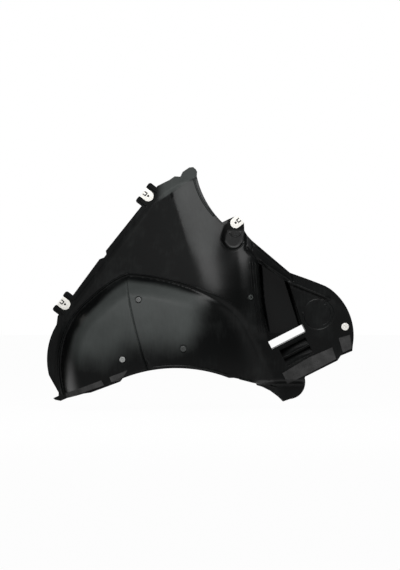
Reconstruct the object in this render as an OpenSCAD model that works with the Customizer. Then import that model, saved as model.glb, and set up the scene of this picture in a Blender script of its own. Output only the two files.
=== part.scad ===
// Wheel arch liner: one moulded plastic shell with its clip nuts, push rivets and seal pads.
// X runs to the right, Z up and Y away from the viewer, who looks at the face of the liner.
// A depth in this file is counted from Y = 0 towards the viewer, so a point lies at Y = -depth.
// The origin is the screw axis of the upper clip nut, midway through the wall that it grips.

/* [Moulding] */
// Wall thickness of the moulding
wall_t = 2.5; // [2:0.5:4]
// Slope of the flat left wall, square to the left edge
wall_slope = 0.42; // [0.3:0.01:0.5]
// Bow of the crest over its own line
crest_bow = 6; // [2:1:12]
// Depth of the low ground on the right
low_d = 26; // [16:1:34]
// Distance over which the wall falls from the crest to the low ground
fall_w = 215; // [180:5:260]
// Height of the top of the tower over the upper clip nut
tower_h = 72; // [62:1:90]
// Width of the flange along the top of the tower
top_flange_w = 24; // [16:1:32]

/* [Arch edge] */
// Radius of the arch edge round the tyre
arch_r = 350; // [320:5:400]
// Distance from the upper clip nut down to the top of the arch edge
arch_drop = 425; // [415:1:440]
// Distance from the upper clip nut down to the feet
foot_drop = 510; // [505:1:530]

/* [Dome] */
// Radius of the dome's round left side
dome_r = 237.5; // [228:0.5:242]
// Depth of the dome's face at its deepest
dome_d = 142; // [130:1:160]
// Distance over which the dome rises out of the wall
dome_run = 50; // [40:1:80]
// Width of the valley round the dome
valley_w = 4; // [0:1:12]
// Width of the rim outside the dome
rim_w = 32.5; // [28:0.5:40]
// Radius of the bead round the dome
bead_r = 3; // [2:0.5:4]
// Height of the lip beside the seam
seam_h = 2; // [1:0.5:3]

/* [Left edge and fork tabs] */
// Distance between the two clip nuts of the left edge
clip_span = 340; // [330:1:350]
// Angle of the left edge from the horizontal
edge_ang = 52.5; // [51:0.5:54]
// Distance from the screw axes in to the left edge
edge_inset = 3; // [0:1:6]
// Width of the flat flange along the left edge
edge_flange_w = 20; // [18:1:28]
// Length of a prong outside the screw axis
prong_l = 18; // [15:1:24]
// Width of a prong
prong_w = 18; // [14:1:22]
// Width of the rib on a prong
prong_rib_w = 3; // [2:0.5:4]

/* [Clip nuts] */
// Width of the notch that holds a clip nut
notch_w = 24; // [20:0.5:28]
// Length of a clip nut outside its screw axis
clip_l = 16; // [13:1:18]
// Lap of a clip nut's face over the notch edge
clip_lap = 1.5; // [1:0.25:3]
// Thickness of a clip nut's two faces
clip_t = 1.6; // [1.2:0.2:3]
// Clearance of a clip nut in its notch and over the wall
clip_gap = 0.25; // [0.15:0.05:0.5]
// Bore for the tapping screw
screw_bore_d = 4.2; // [3:0.1:6]
// Outer diameter of a clip nut's barrel
barrel_d = 10; // [8:0.5:14]
// Length of a clip nut's barrel behind its back face
barrel_l = 11; // [6:1:16]

/* [Front ear] */
// Distance of the front clip nut to the right of the upper one
ear_x = 217.5; // [212:0.5:222]
// Distance of the front clip nut below the upper one
ear_drop = 67.5; // [64:0.5:72]
// Depth of the ear's face
ear_d = 34; // [26:1:44]
// Radius of the round pocket below the ear
pocket_r = 27; // [24:0.5:30]
// Length of the pocket below the front clip nut
pocket_l = 42; // [34:1:50]

/* [Rib block] */
// Height of the rib block over the wall
block_h = 12; // [6:1:18]
// Diameter of the three ribs on the block
rib_d = 5; // [3:0.5:7]
// Diameter of the drain hole in the block
drain_d = 5; // [3:0.5:7]

/* [Duct and air slot] */
// Length of the air slot
slot_l = 95; // [80:1:100]
// Width of the air slot
slot_w = 20; // [12:1:22]
// Angle of the air slot from the horizontal
slot_ang = 27; // [25:0.5:29]
// Depth of the duct floor at its top end
duct_top_d = 8; // [0:1:14]
// Drop of the duct floor behind the face at its foot
duct_foot_d = 26; // [10:1:34]

/* [Louvres] */
// Length of a louvre
louvre_l = 72; // [60:1:80]
// Distance from one louvre to the next
louvre_pitch = 24; // [18:1:26]
// Height of a louvre blade
louvre_h = 14; // [8:1:18]

/* [Lobe] */
// Radius of the round panel pressed into the lobe
panel_r = 37.5; // [28:0.5:40]
// Width of the raised flange along the top right edge
lobe_flange_w = 30; // [24:1:36]
// Height of that flange over the lobe
lobe_flange_h = 8; // [4:1:12]
// Head diameter of the retainer plug
plug_d = 20; // [16:0.5:24]
// Shank diameter of the retainer plug
plug_shank_d = 8; // [6:0.5:10]

/* [Push rivets] */
// Head diameter of a push rivet
rivet_d = 14; // [12:0.5:18]
// Head thickness of a push rivet
rivet_t = 1.8; // [1.2:0.2:3]
// Shank diameter of a push rivet
rivet_shank_d = 6; // [4:0.5:8]
// Length of the shank behind the head
rivet_l = 13; // [9:1:16]
// Clearance round a shank and under a head
fit_gap = 0.3; // [0.2:0.05:0.5]

/* [Seal pads] */
// Thickness of the foam seal pads
pad_t = 2.4; // [1:0.2:5]

/* [Hidden] */

shell_colour = "#3b3d3c";
clip_colour = "#e9e7e1";
rivet_colour = "#8c8e8c";
pad_colour = "#5c5a55";

// Side of one square of the grid that the shell's surface is worked out on
cell = 14;
// Half of the wall: the depth of the flat flange that the clip nuts grip
f0 = wall_t / 2;

// Places on the face, as X and Z in millimetres
clip_lower_p = [-clip_span * cos(edge_ang), -clip_span * sin(edge_ang)];
ear_p = [ear_x, -ear_drop];
ear_clip_ang = 40;
dome_c = [17.5, -422.5];
dome_top_c = [-89.5, -835];
dome_top_r = 640;
dome_side_p = [240, -297];
dome_side_ang = -66.5;
arch_x = 70;
arch_top = -arch_drop;
foot_z = -foot_drop;
// The outermost point of the round bulge on the left
left_x = dome_c.x - dome_r - rim_w;
slot_c = [345, -350];
duct_left_p = [273, -166];
duct_right_p = [350, -217];
panel_c = [422.5, -295];
plug_p = [489, -325];
drain_p = [254, -252];
rivet_left_p = [-61, -404];
rivet_middle_p = [88, -378];
rivet_seam_p = [-22, -258];

function smooth(t) = let (u = min(max(t, 0), 1)) u * u * (3 - 2 * u);
function mix(a, b, t) = a + (b - a) * t;
function unit(a) = [cos(a), sin(a)];
// Height of the arch edge at x
function arch_z(x) = arch_top - arch_r + sqrt(arch_r * arch_r - (x - arch_x) * (x - arch_x));
// Points of the circle that runs through three points, from the first to the last
function centre3(a, b, c) =
    let (d = 2 * (a.x * (b.y - c.y) + b.x * (c.y - a.y) + c.x * (a.y - b.y)))
    [
        ((a * a) * (b.y - c.y) + (b * b) * (c.y - a.y) + (c * c) * (a.y - b.y)) / d,
        ((a * a) * (c.x - b.x) + (b * b) * (a.x - c.x) + (c * c) * (b.x - a.x)) / d
    ];
function turn(a, b) = let (t = b - a) t > 180 ? t - 360 : t < -180 ? t + 360 : t;
function arc3(a, b, c, n) =
    let (
        o = centre3(a, b, c),
        r = norm(a - o),
        s = atan2(a.y - o.y, a.x - o.x),
        t = turn(s, atan2(c.y - o.y, c.x - o.x))
    )
    [for (i = [0:n]) o + r * unit(s + t * i / n)];

// Outward distance of a point from the line through the two clip nuts of the left edge
function edge_out(p) = -p.x * sin(edge_ang) + p.y * cos(edge_ang);
// Distance in from the left side: the straight edge above, the round bulge below
bulge_top_z = -370;
bulge_blend_h = 120;
function left_in(p) =
    let (
        straight = -edge_inset - edge_out(p),
        round_in = dome_r + rim_w - norm([min(p.x - dome_c.x, 0), p.y - dome_c.y])
    )
    mix(round_in, straight, smooth((p.y - bulge_top_z) / bulge_blend_h));

// The crease, where the left wall turns into the crest: its place at the top, its lean and its bow
crease_top_x = 58;
crease_lean = 0.37;
crease_bow = 0.0003;
function drop_of(z) = min(max(10 - z, -60), 300);
function crease_x(z) = let (s = drop_of(z)) crease_top_x + crease_lean * s - crease_bow * s * s;
// The far side of the crest is a straight line, and its middle lies halfway
crest_far_x = 129;
crest_far_lean = 0.29;
function crest_x(z) = mix(crease_x(z), crest_far_x + crest_far_lean * min(drop_of(z), 240), 0.5);
// The crest lies where the flat left wall brings it, and below the dome's top it runs nearly level
crest_foot_z = -235;
crest_foot_rake = 0.04;
function crest(z) =
    let (h = max(z, crest_foot_z))
    f0 + wall_slope * (left_in([crease_x(h), h]) - edge_flange_w)
    + crest_foot_rake * max(crest_foot_z - z, 0);

// The wall without the dome: a slope from the left flange up to the crest, then down to the right.
// Where the crease comes near the flange, the slope keeps a least run.
least_run = 30;
function wall_left(p) =
    let (run = left_in([crease_x(p.y), p.y]) - edge_flange_w)
    f0 + (crest(p.y) - f0) * max((left_in(p) - edge_flange_w) / max(run, least_run), 0);
function wall_crest(p) =
    let (half = crest_x(p.y) - crease_x(p.y), t = (crest_x(p.y) - p.x) / half)
    crest(p.y) + crest_bow * (1 - t * t);
function wall_right(p) =
    let (top = crest(p.y) + crest_bow)
    mix(top, low_d, smooth((p.x - crest_x(p.y)) / fall_w));
function wall_plain(p) =
    p.x < crease_x(p.y) ? wall_left(p) : p.x < crest_x(p.y) ? wall_crest(p) : wall_right(p);

// The flange along the top of the tower leans back from the wall
top_lean = 0.5;
top_line_ang = 33.7;
top_line_p = [112, tower_h] + top_flange_w * unit(top_line_ang - 90);
function over_top_line(p) = (p - top_line_p) * unit(top_line_ang + 90);
function wall_top(p) =
    let (over = max(over_top_line(p), 0))
    max(f0, wall_plain(p - over * unit(top_line_ang + 90)) - top_lean * over);

// Distance in from the dome's outline: a circle on the left, a flat arc on top, a line on the right,
// and a round corner between the last two
dome_corner_r = 16;
function dome_in(p) =
    let (
        round_in = dome_r - norm([min(p.x - dome_c.x, 0), p.y - dome_c.y]),
        top_in = dome_top_r - norm(p - dome_top_c),
        side_in = (p - dome_side_p) * unit(dome_side_ang - 90),
        soft = -dome_corner_r * ln(exp(-top_in / dome_corner_r) + exp(-side_in / dome_corner_r))
    )
    min(round_in, soft);
// The dome's own face: from its deepest place it falls away as parabolas, upwards, left and right
dome_deep_p = [60, -430];
dome_fall_up = 0.0009;
dome_fall_left = 0.0004;
dome_fall_right = 0.002;
function dome_face(p) =
    let (q = p - dome_deep_p)
    dome_d - dome_fall_up * pow(max(q.y, 0), 2)
    - dome_fall_left * pow(min(q.x, 0), 2) - dome_fall_right * pow(max(q.x, 0), 2);
// How far the wall has turned into the dome's face, from 0 to 1
function dome_part(p) = sin(90 * min(max((dome_in(p) - valley_w) / dome_run, 0), 1));

// Rib block: a raised strip between the pocket and the duct, straight down to its bend and then
// leaning to the right, with soft shoulders
block_x = 255;
block_bend_z = -200;
block_lean = 0.16;
block_half_w = 12;
block_shoulder = 12;
block_top_z = -118;
block_foot_z = -325;
function block_side(z) = block_x + block_lean * max(block_bend_z - z, 0);
function block_rise(p) =
    block_h * (1 - smooth((abs(p.x - block_side(p.y)) - block_half_w) / block_shoulder))
    * smooth((block_top_z - p.y) / 14) * (1 - smooth((block_foot_z - p.y) / 25));

// Raised flange along the two straight stretches of the top right edge, from the rib block on
edge_start_p = [245, -99];
edge_start_ang = -130.7;
edge_bend_p = [352, -191];
edge_bend_ang = -111.8;
lobe_shoulder = 8;
lobe_flange_x = 262;
function right_in(p) =
    max((p - edge_start_p) * unit(edge_start_ang), (p - edge_bend_p) * unit(edge_bend_ang));
function lobe_rise(p) =
    lobe_flange_h * (1 - smooth((right_in(p) - lobe_flange_w + lobe_shoulder * 3 / 4) / lobe_shoulder))
    * smooth((p.x - lobe_flange_x) / 20);

// The flap at the foot of the duct lies further back
flap_step = 22;
flap_top_z = -455;
flap_x = 258;
function flap_drop(p) = flap_step * smooth((flap_top_z - p.y) / 16) * smooth((p.x - flap_x) / 14);

// The tower's hollow right side rolls back over its last few millimetres
tower_side = [[121, 50], [142.5, -10], [184, -66]];
roll_w = 13;
roll_back = 9;
roll_foot_z = -78;
roll_x = 92;
tower_side_c = centre3(tower_side[0], tower_side[1], tower_side[2]);
function tower_roll(p) =
    let (in = norm(p - tower_side_c) - norm(tower_side[0] - tower_side_c))
    roll_back * (1 - smooth(in / roll_w)) * smooth((p.y - roll_foot_z) / 16) * smooth((p.x - roll_x) / 20);

// Pocket under the front clip nut: flat ground at the ear's depth inside a round-ended slot
pocket_c = ear_p + [-7, pocket_r - pocket_l - 25];
pocket_top_p = ear_p + [6, 6];
pocket_shoulder = 8;
function pocket_out(p) =
    let (
        line = pocket_top_p - pocket_c,
        t = min(max(((p - pocket_c) * line) / (line * line), 0), 1)
    )
    norm(p - pocket_c - t * line) - pocket_r;

// Depth of the face at a point
function depth(p) =
    let (
        ground = mix(wall_top(p), dome_face(p), dome_part(p)),
        wall = ground + block_rise(p) + lobe_rise(p) - flap_drop(p) - tower_roll(p),
        open = smooth((pocket_out(p) + pocket_shoulder * 3 / 4) / pocket_shoulder)
    )
    mix(ear_d, wall, open);
function slope(p) = [depth(p + [1, 0]) - depth(p - [1, 0]), depth(p + [0, 1]) - depth(p - [0, 1])] / 2;
// Depth of the back of the wall, set back square to the face
function back(p) = let (g = slope(p)) depth(p) - wall_t * sqrt(1 + g * g);
// Depth of the duct floor, which goes down from its top end to its foot
duct_floor_z = -190;
duct_floor_run = 150;
function duct_floor(p) = mix(duct_top_d, -duct_foot_d, smooth((duct_floor_z - p.y) / duct_floor_run));

// Solid between two depths, on the grid squares from the corner lo to the corner hi
grid_x0 = -264;
grid_z0 = -528;
module sheet(lo, hi, front_d, back_d) {
    i0 = floor((lo.x - grid_x0) / cell);
    j0 = floor((lo.y - grid_z0) / cell);
    i1 = ceil((hi.x - grid_x0) / cell);
    j1 = ceil((hi.y - grid_z0) / cell);
    nx = i1 - i0 + 1;
    nz = j1 - j0 + 1;
    n = nx * nz;
    place = [for (j = [j0:j1]) for (i = [i0:i1]) [grid_x0 + cell * i, grid_z0 + cell * j]];
    points = concat(
        [for (p = place) [p.x, -front_d(p), p.y]],
        [for (p = place) [p.x, -back_d(p), p.y]]
    );
    skin = [for (j = [0:nz - 2]) for (i = [0:nx - 2]) let (a = j * nx + i) [a, a + nx, a + nx + 1, a + 1]];
    front = [for (q = skin) each [[q[0], q[1], q[2]], [q[0], q[2], q[3]]]];
    rear = [for (f = front) [f[0] + n, f[2] + n, f[1] + n]];
    low = [for (i = [0:nx - 2]) [i, i + 1]];
    high = [for (i = [0:nx - 2]) [n - nx + i + 1, n - nx + i]];
    left = [for (j = [0:nz - 2]) [(j + 1) * nx, j * nx]];
    right = [for (j = [0:nz - 2]) [j * nx + nx - 1, (j + 1) * nx + nx - 1]];
    rim = [
        for (e = concat(low, high, left, right))
        each [[e[0], e[1], e[1] + n], [e[0], e[1] + n, e[0] + n]]
    ];
    polyhedron(points = points, faces = concat(front, rear, rim), convexity = 10);
}

// In front of all that is cut, and behind it
far_front = -260;
far_back = 60;

// Extrudes an outline on the face along Y
module plate(y0 = far_front, y1 = far_back) {
    translate([0, y1, 0]) rotate([90, 0, 0]) linear_extrude(y1 - y0) children();
}

// Outline of the liner, clockwise from the top of the tower, without the notches
function liner_outline() = concat(
    [[86, 60], [102, tower_h - 1], [112, tower_h], [119, tower_h - 6], [122, 60]],
    arc3(tower_side[0], tower_side[1], tower_side[2], 8),
    [[198, -59], [219, -50], [229, -55], [238, -68], [239, -87], [246, -99], [257, -111], [352, -191]],
    arc3([377, -200], [402, -209], [440, -224], 3),
    arc3([452, -231], [490, -273], [508, -372], 9),
    [[507, -385], [478, -397], [470, -409], [390, -449]],
    arc3([389, -453], [389, -476], [353, -505], 6),
    [[335, foot_z - 1], [323, -499], [303, -484], [283, -474], [270, -470], [265, -461], [212, -450]],
    [for (x = [200:-20:-60]) [x, arch_z(x)]],
    [[-66, -458], [-138, -485], [-157, -488], [left_x + 52.5, foot_z + 8], [left_x + 34.5, foot_z]],
    [for (p = [[20.5, 3], [16.5, 7], [29.5, 13], [29.5, 21]]) [left_x, foot_z] + p],
    arc3([left_x + 5.5, foot_z + 64], dome_c + (dome_r + rim_w) * unit(176), [left_x + 24.5, -320], 8),
    [
        clip_lower_p + edge_inset * unit(edge_ang - 90) + 34 * unit(edge_ang - 180),
        [-118, -157], [-107, -153], [-101, -145], [-103, -136]
    ],
    [edge_inset * unit(edge_ang - 90) + 34 * unit(edge_ang), [53, 40], [66, 49], [80, 48]]
);

// Two prongs of a fork tab, with its screw axis at the origin and outward along X.
// Each starts inside the notch, so that the notch cuts its inner edge.
module fork() {
    root = -14;
    side = notch_w / 2 - 1;
    for (s = [-1, 1]) {
        scale([1, s]) translate([0, side]) hull() {
            translate([root, 0]) square([2, prong_w + 1]);
            translate([prong_l - prong_w / 3, prong_w * 2 / 3 + 1]) circle(r = prong_w / 3, $fn = 16);
            translate([prong_l - prong_w / 3, prong_w / 3]) circle(r = prong_w / 3, $fn = 16);
        }
    }
}

// Round-ended notch for a clip nut, grown or shrunk by a gap
module notch(gap) {
    circle(d = notch_w + 2 * gap, $fn = 32);
    translate([0, -notch_w / 2 - gap]) square([clip_l + 20, notch_w + 2 * gap]);
}

// Land left round the slot inside the foot of the duct
slot_land = 0.8;
module slot_outline(grow) {
    translate(slot_c) rotate(slot_ang) square([slot_l + grow, slot_w + grow], center = true);
}

function slot_corner(sx, sz) =
    slot_c + sx * slot_l / 2 * unit(slot_ang) + sz * slot_w / 2 * unit(slot_ang + 90);

module duct_outline() {
    polygon([
        duct_left_p, duct_right_p, slot_corner(1, 1), slot_corner(1, -1), slot_corner(-1, -1),
        slot_corner(-1, 1), [duct_left_p.x + 8, -262]
    ]);
}

// Corners of the ground that the duct stands on
duct_lo = [duct_left_p.x - 8, slot_corner(-1, -1).y - 8];
duct_hi = [slot_corner(1, -1).x + 12, duct_left_p.y + 8];

// The louvres lie under the air slot, square to it
louvre_n = 2;
louvre_c = slot_c + (slot_w / 2 + 6 + louvre_pitch * louvre_n / 2) * unit(slot_ang - 90) + [4, 0];

module louvre_outline(grow) {
    translate(louvre_c) rotate(slot_ang)
        square([louvre_l + 2 * grow, louvre_n * louvre_pitch + 2 * grow], center = true);
}

// Saw-toothed blades, drawn in the plane square to the slot and run along it
module louvre_blades() {
    d = depth(louvre_c);
    half = louvre_n * louvre_pitch / 2;
    translate([louvre_c.x, -d, louvre_c.y]) rotate([0, -slot_ang, 0]) rotate([90, 0, 90])
        translate([0, 0, -louvre_l / 2 - 1]) linear_extrude(louvre_l + 2)
        for (k = [0:louvre_n - 1]) {
            top = half - k * louvre_pitch;
            polygon([
                [louvre_h + wall_t, top + 1], [louvre_h, top + 1], [louvre_h, top - 4],
                [0, top - louvre_pitch + 1], [0, top - louvre_pitch],
                [wall_t, top - louvre_pitch], [louvre_h + wall_t, top - 4]
            ]);
        }
}

// Low ridge that lies on the face along a line of places, with its feet sunk into the wall
ridge_sink = 1.2;
module ridge(path, half_w, h) {
    side = [-1, -0.6, 0, 0.6, 1] * half_w;
    rise = [-ridge_sink, 0.75 * h, h, 0.75 * h, -ridge_sink];
    m = len(side);
    last = len(path) - 1;
    points = [
        for (k = [0:last])
        let (
            along = path[min(k + 1, last)] - path[max(k - 1, 0)],
            across = [along.y, -along.x] / norm(along)
        )
        for (i = [0:m - 1]) let (p = path[k] + side[i] * across) [p.x, -depth(p) - rise[i], p.y]
    ];
    skin = [
        for (k = [0:last - 1]) for (i = [0:m - 1])
        let (a = k * m + i, b = k * m + (i + 1) % m) each [[a, b + m, b], [a, a + m, b + m]]
    ];
    start = [for (i = [1:m - 2]) [0, i, i + 1]];
    end = [for (i = [1:m - 2]) [last * m, last * m + i + 1, last * m + i]];
    polyhedron(points = points, faces = concat(skin, start, end), convexity = 6);
}

// Places of the bead that runs round the dome, just outside the valley
function bead_left() = [
    for (a = [198:-6.1:106.5]) dome_c + (dome_r + bead_r) * unit(a)
];
function bead_top() = [
    for (x = [-53:26:207]) [x, dome_top_c.y + sqrt(pow(dome_top_r + bead_r, 2) - pow(x - dome_top_c.x, 2))]
];
// The seam bows down from the dome's corner to the arch edge
function seam_p(t) = [-52.5 + 0.137 * t + 0.0005 * t * t, -207.5 - t];

// Carries a fixing to a place on the face and turns it square to the wall
module on_face(p) {
    g = slope(p);
    translate([p.x, -depth(p), p.y])
        rotate([atan(g.y), 0, 0])
        rotate([0, 0, -atan(g.x * cos(atan(g.y)))])
        rotate([90, 0, 0])
        children();
}

// The duct and louvre walls end inside the skin's thickness
under_skin = wall_t / 4;
// Distance from one rib of the rib block to the next
rib_pitch = 9;
// Rim along the pocket's round foot
pocket_rim_h = 2.2;
// Rib round the panel in the lobe
panel_rib_t = 4;
panel_rib_h = 2.5;
// Collar round the drain hole
collar_t = 4.5;
collar_h = 4;

module shell_skin() {
    difference() {
        intersection() {
            sheet([-262, foot_z - 3], [510, tower_h + 2], function (p) depth(p), function (p) back(p));
            plate() {
                polygon(liner_outline());
                rotate(edge_ang + 90) fork();
                translate(clip_lower_p) rotate(edge_ang + 90) fork();
            }
        }
        plate() duct_outline();
        plate() louvre_outline(0);
    }
}

module shell_duct() {
    difference() {
        intersection() {
            sheet(
                duct_lo, duct_hi,
                function (p) depth(p) - under_skin,
                function (p) min(duct_floor(p), back(p) - 1) - wall_t
            );
            plate() offset(delta = wall_t) duct_outline();
        }
        intersection() {
            sheet(duct_lo, duct_hi, function (p) depth(p) + 20, function (p) duct_floor(p));
            plate() duct_outline();
        }
    }
}

module shell_louvres() {
    difference() {
        intersection() {
            sheet(
                louvre_c - [56, 52], louvre_c + [56, 52],
                function (p) depth(p) - under_skin,
                function (p) depth(p) - louvre_h - 2 * wall_t
            );
            plate() louvre_outline(wall_t);
        }
        plate() louvre_outline(0);
    }
    louvre_blades();
}

module shell_ribs() {
    ridge(bead_left(), bead_r, bead_r);
    ridge(bead_top(), bead_r, bead_r * 0.7);
    ridge([for (t = [14:24:206]) seam_p(t) + [seam_h, 0]], seam_h, seam_h);
    for (k = [-1, 0, 1]) {
        ridge([for (z = [-140:-38:-330]) [block_side(z) + k * rib_pitch, z]], rib_d / 2, rib_d / 2);
    }
    ridge(
        [for (a = [178:29:352]) pocket_c + (pocket_r + pocket_rim_h) * unit(a)],
        pocket_rim_h, pocket_rim_h
    );
    for (c = [[0, 0], clip_lower_p]) {
        for (s = [-1, 1]) {
            plate(-f0 - prong_rib_w, 0) translate(c) rotate(edge_ang + 90) hull() {
                for (x = [-10, prong_l - 6]) {
                    translate([x, s * (notch_w + prong_w) / 2]) circle(d = prong_rib_w, $fn = 12);
                }
            }
        }
    }
    plate(-depth(panel_c) - panel_rib_h, -depth(panel_c) + 1) translate(panel_c) difference() {
        circle(r = panel_r + panel_rib_t / 2, $fn = 32);
        circle(r = panel_r - panel_rib_t / 2, $fn = 32);
    }
    plate(-depth(drain_p) - collar_h, -depth(drain_p) + 1) translate(drain_p)
        circle(d = drain_d + 2 * collar_t, $fn = 20);
}

module liner_shell() {
    color(shell_colour) difference() {
        union() {
            shell_skin();
            shell_duct();
            shell_louvres();
            shell_ribs();
        }
        plate() slot_outline(-2 * slot_land);
        plate(-far_back, far_back) {
            rotate(edge_ang + 90) notch(0);
            translate(clip_lower_p) rotate(edge_ang + 90) notch(0);
            translate(ear_p) rotate(ear_clip_ang) notch(0);
            translate(plug_p) circle(d = plug_shank_d + 2 * fit_gap, $fn = 20);
        }
        plate() translate(drain_p) circle(d = drain_d, $fn = 24);
        for (p = [rivet_left_p, rivet_middle_p, rivet_seam_p]) {
            on_face(p) cylinder(d = rivet_shank_d + 2 * fit_gap, h = 60, center = true, $fn = 16);
        }
    }
}

// White clip nut: two faces over the notch edge, a core in the notch and a screw barrel behind
module clip_nut(d) {
    face_y = d - f0;
    color(clip_colour) translate([0, -face_y, 0]) difference() {
        union() {
            plate(-f0 - clip_gap - clip_t, -f0 - clip_gap) clip_face(clip_lap);
            plate(f0 + clip_gap, f0 + clip_gap + clip_t) clip_face(clip_lap);
            plate(-f0 - clip_gap - clip_t / 2, f0 + clip_gap + clip_t / 2) clip_face(-clip_gap);
            plate(f0 + clip_gap, f0 + clip_gap + clip_t + barrel_l) circle(d = barrel_d);
        }
        plate(-f0 - 20, f0 + barrel_l + 20) circle(d = screw_bore_d);
        plate(-f0 - clip_gap - clip_t - 1, -f0 - clip_gap - clip_t / 2) latch_mark();
    }
}

module clip_face(grow) {
    circle(d = notch_w + 2 * grow);
    translate([0, -notch_w / 2 - grow]) square([clip_l, notch_w + 2 * grow]);
}

// Square-cornered U that frees the latch in a clip nut's face
module latch_mark() {
    difference() {
        translate([6, -4.5]) square([clip_l - 8.5, 9]);
        translate([5, -2.8]) square([clip_l - 9.2, 5.6]);
    }
}

module clip_nut_upper() {
    rotate([0, -edge_ang - 90, 0]) clip_nut(f0);
}

module clip_nut_lower() {
    translate([clip_lower_p.x, 0, clip_lower_p.y]) rotate([0, -edge_ang - 90, 0]) clip_nut(f0);
}

module clip_nut_front() {
    translate([ear_p.x, 0, ear_p.y]) rotate([0, -ear_clip_ang, 0]) clip_nut(ear_d);
}

// Push rivet with a dished head, drawn along Z with its head in front
module push_rivet(p) {
    r = rivet_d / 2;
    s = rivet_shank_d / 2;
    color(rivet_colour) on_face(p) rotate_extrude() polygon([
        [0, -rivet_l - 3], [s - 1.2, -rivet_l - 2], [s, -rivet_l], [s, fit_gap], [r, fit_gap],
        [r, fit_gap + 0.6], [r - 1, fit_gap + rivet_t], [s - 0.4, fit_gap + rivet_t],
        [s - 0.8, fit_gap + rivet_t - 0.8], [0, fit_gap + rivet_t - 0.8]
    ]);
}

module push_rivet_left() {
    push_rivet(rivet_left_p);
}

module push_rivet_middle() {
    push_rivet(rivet_middle_p);
}

module push_rivet_seam() {
    push_rivet(rivet_seam_p);
}

// White retainer plug with a ring groove in its head
module retainer_plug() {
    r = plug_d / 2;
    s = plug_shank_d / 2;
    color(clip_colour) on_face(plug_p) rotate_extrude() polygon([
        [0, -15], [s - 1.5, -14], [s, -11], [s, fit_gap], [r, fit_gap], [r, fit_gap + 1.2],
        [r - 1.2, fit_gap + 2.4], [4.2, fit_gap + 2.8], [4.2, fit_gap + 2], [3.2, fit_gap + 2],
        [3.2, fit_gap + 2.8], [0, fit_gap + 2.8]
    ]);
}

// Foam pad that lies on the face: the grid squares round it, cut to its outline
module seal_pad(lo, hi) {
    color(pad_colour) intersection() {
        sheet(
            lo, hi,
            function (p) depth(p) + fit_gap + pad_t,
            function (p) depth(p) + fit_gap
        );
        plate() children();
    }
}

module seal_pad_left() {
    left = left_x + rim_w + 14;
    seal_pad([left - 1, -502], [-105, -454])
        polygon([[left, -490], [-113, -455], [-106, -467], [left + 4, -501]]);
}

module seal_pad_arch() {
    seal_pad([-94, -460], [-47, -429])
        polygon([[-93, -447], [-48, -430], [-60, -448], [-69, -456], [-88, -459]]);
}

module seal_pad_duct() {
    seal_pad([332, -468], [468, -375]) polygon([
        [333, -440], [400, -401], [457, -376], [467, -405], [390, -445], [346, -467]
    ]);
}

module seal_pad_lobe() {
    seal_pad([472, -390], [507, -344]) polygon([[473, -353], [501, -345], [506, -379], [483, -389]]);
}

liner_shell();
clip_nut_upper();
clip_nut_lower();
clip_nut_front();
push_rivet_left();
push_rivet_middle();
push_rivet_seam();
retainer_plug();
seal_pad_left();
seal_pad_arch();
seal_pad_duct();
seal_pad_lobe();
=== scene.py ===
import math
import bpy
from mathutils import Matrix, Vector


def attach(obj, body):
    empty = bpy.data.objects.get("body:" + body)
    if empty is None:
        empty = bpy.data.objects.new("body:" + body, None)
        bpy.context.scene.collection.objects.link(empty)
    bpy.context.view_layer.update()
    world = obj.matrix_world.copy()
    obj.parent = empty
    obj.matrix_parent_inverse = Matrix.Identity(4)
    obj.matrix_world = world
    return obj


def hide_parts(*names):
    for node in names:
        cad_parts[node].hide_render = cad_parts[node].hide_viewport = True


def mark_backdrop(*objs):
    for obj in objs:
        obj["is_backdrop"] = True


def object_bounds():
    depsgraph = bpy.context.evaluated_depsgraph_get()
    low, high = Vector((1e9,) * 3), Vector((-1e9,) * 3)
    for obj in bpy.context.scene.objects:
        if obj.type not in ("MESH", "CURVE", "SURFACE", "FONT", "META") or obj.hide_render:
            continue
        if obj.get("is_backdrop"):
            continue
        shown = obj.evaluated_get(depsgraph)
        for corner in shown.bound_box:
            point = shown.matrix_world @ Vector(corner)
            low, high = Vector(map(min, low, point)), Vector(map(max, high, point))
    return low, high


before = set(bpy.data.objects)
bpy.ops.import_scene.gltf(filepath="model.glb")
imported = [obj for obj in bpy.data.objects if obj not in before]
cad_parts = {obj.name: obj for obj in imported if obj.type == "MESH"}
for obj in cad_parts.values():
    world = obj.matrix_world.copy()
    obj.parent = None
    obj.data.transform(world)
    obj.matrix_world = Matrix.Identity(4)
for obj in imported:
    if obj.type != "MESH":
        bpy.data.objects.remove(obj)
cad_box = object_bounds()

from types import SimpleNamespace

import bpy
import numpy as np
from mathutils import Matrix, Vector

bl_info = {
    "name": "Wheel Arch Liner",
    "version": (1, 0, 0),
    "blender": (4, 5, 0),
    "location": "3D View > Sidebar > Liner",
    "description": "Dresses a moulded wheel arch liner with its clip nuts, rivets and seal pads",
    "category": "Object",
}

# The shapes are worked out in millimetres on the face of the liner: x to the right, z up, and
# depth towards the viewer, so a point lies at y = -depth.
MM = 0.001

# Places on the face, as x and z in millimetres, with the upper clip nut's screw axis at 0, 0
CLIP_SPAN = 340
EDGE_ANGLE = math.radians(52.5)
CLIP_LOWER = (-CLIP_SPAN * math.cos(EDGE_ANGLE), -CLIP_SPAN * math.sin(EDGE_ANGLE))
EAR = (217.5, -67.5)
EAR_CLIP_ANGLE = math.radians(40)
EAR_DEPTH = 34
DOME_CENTRE = (17.5, -422.5)
DOME_RADIUS = 237.5
DOME_TOP_CENTRE = (-89.5, -835)
DOME_TOP_RADIUS = 640
DOME_SIDE = (240, -297)
DOME_SIDE_ANGLE = math.radians(-66.5)
RIM_WIDTH = 32.5
TOP_LINE_ANGLE = math.radians(33.7)
TOWER_HEIGHT = 72
TOP_FLANGE_WIDTH = 24
TOP_FLANGE_LEFT = 22
EDGE_INSET = 3
EDGE_FLANGE_WIDTH = 20
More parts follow.
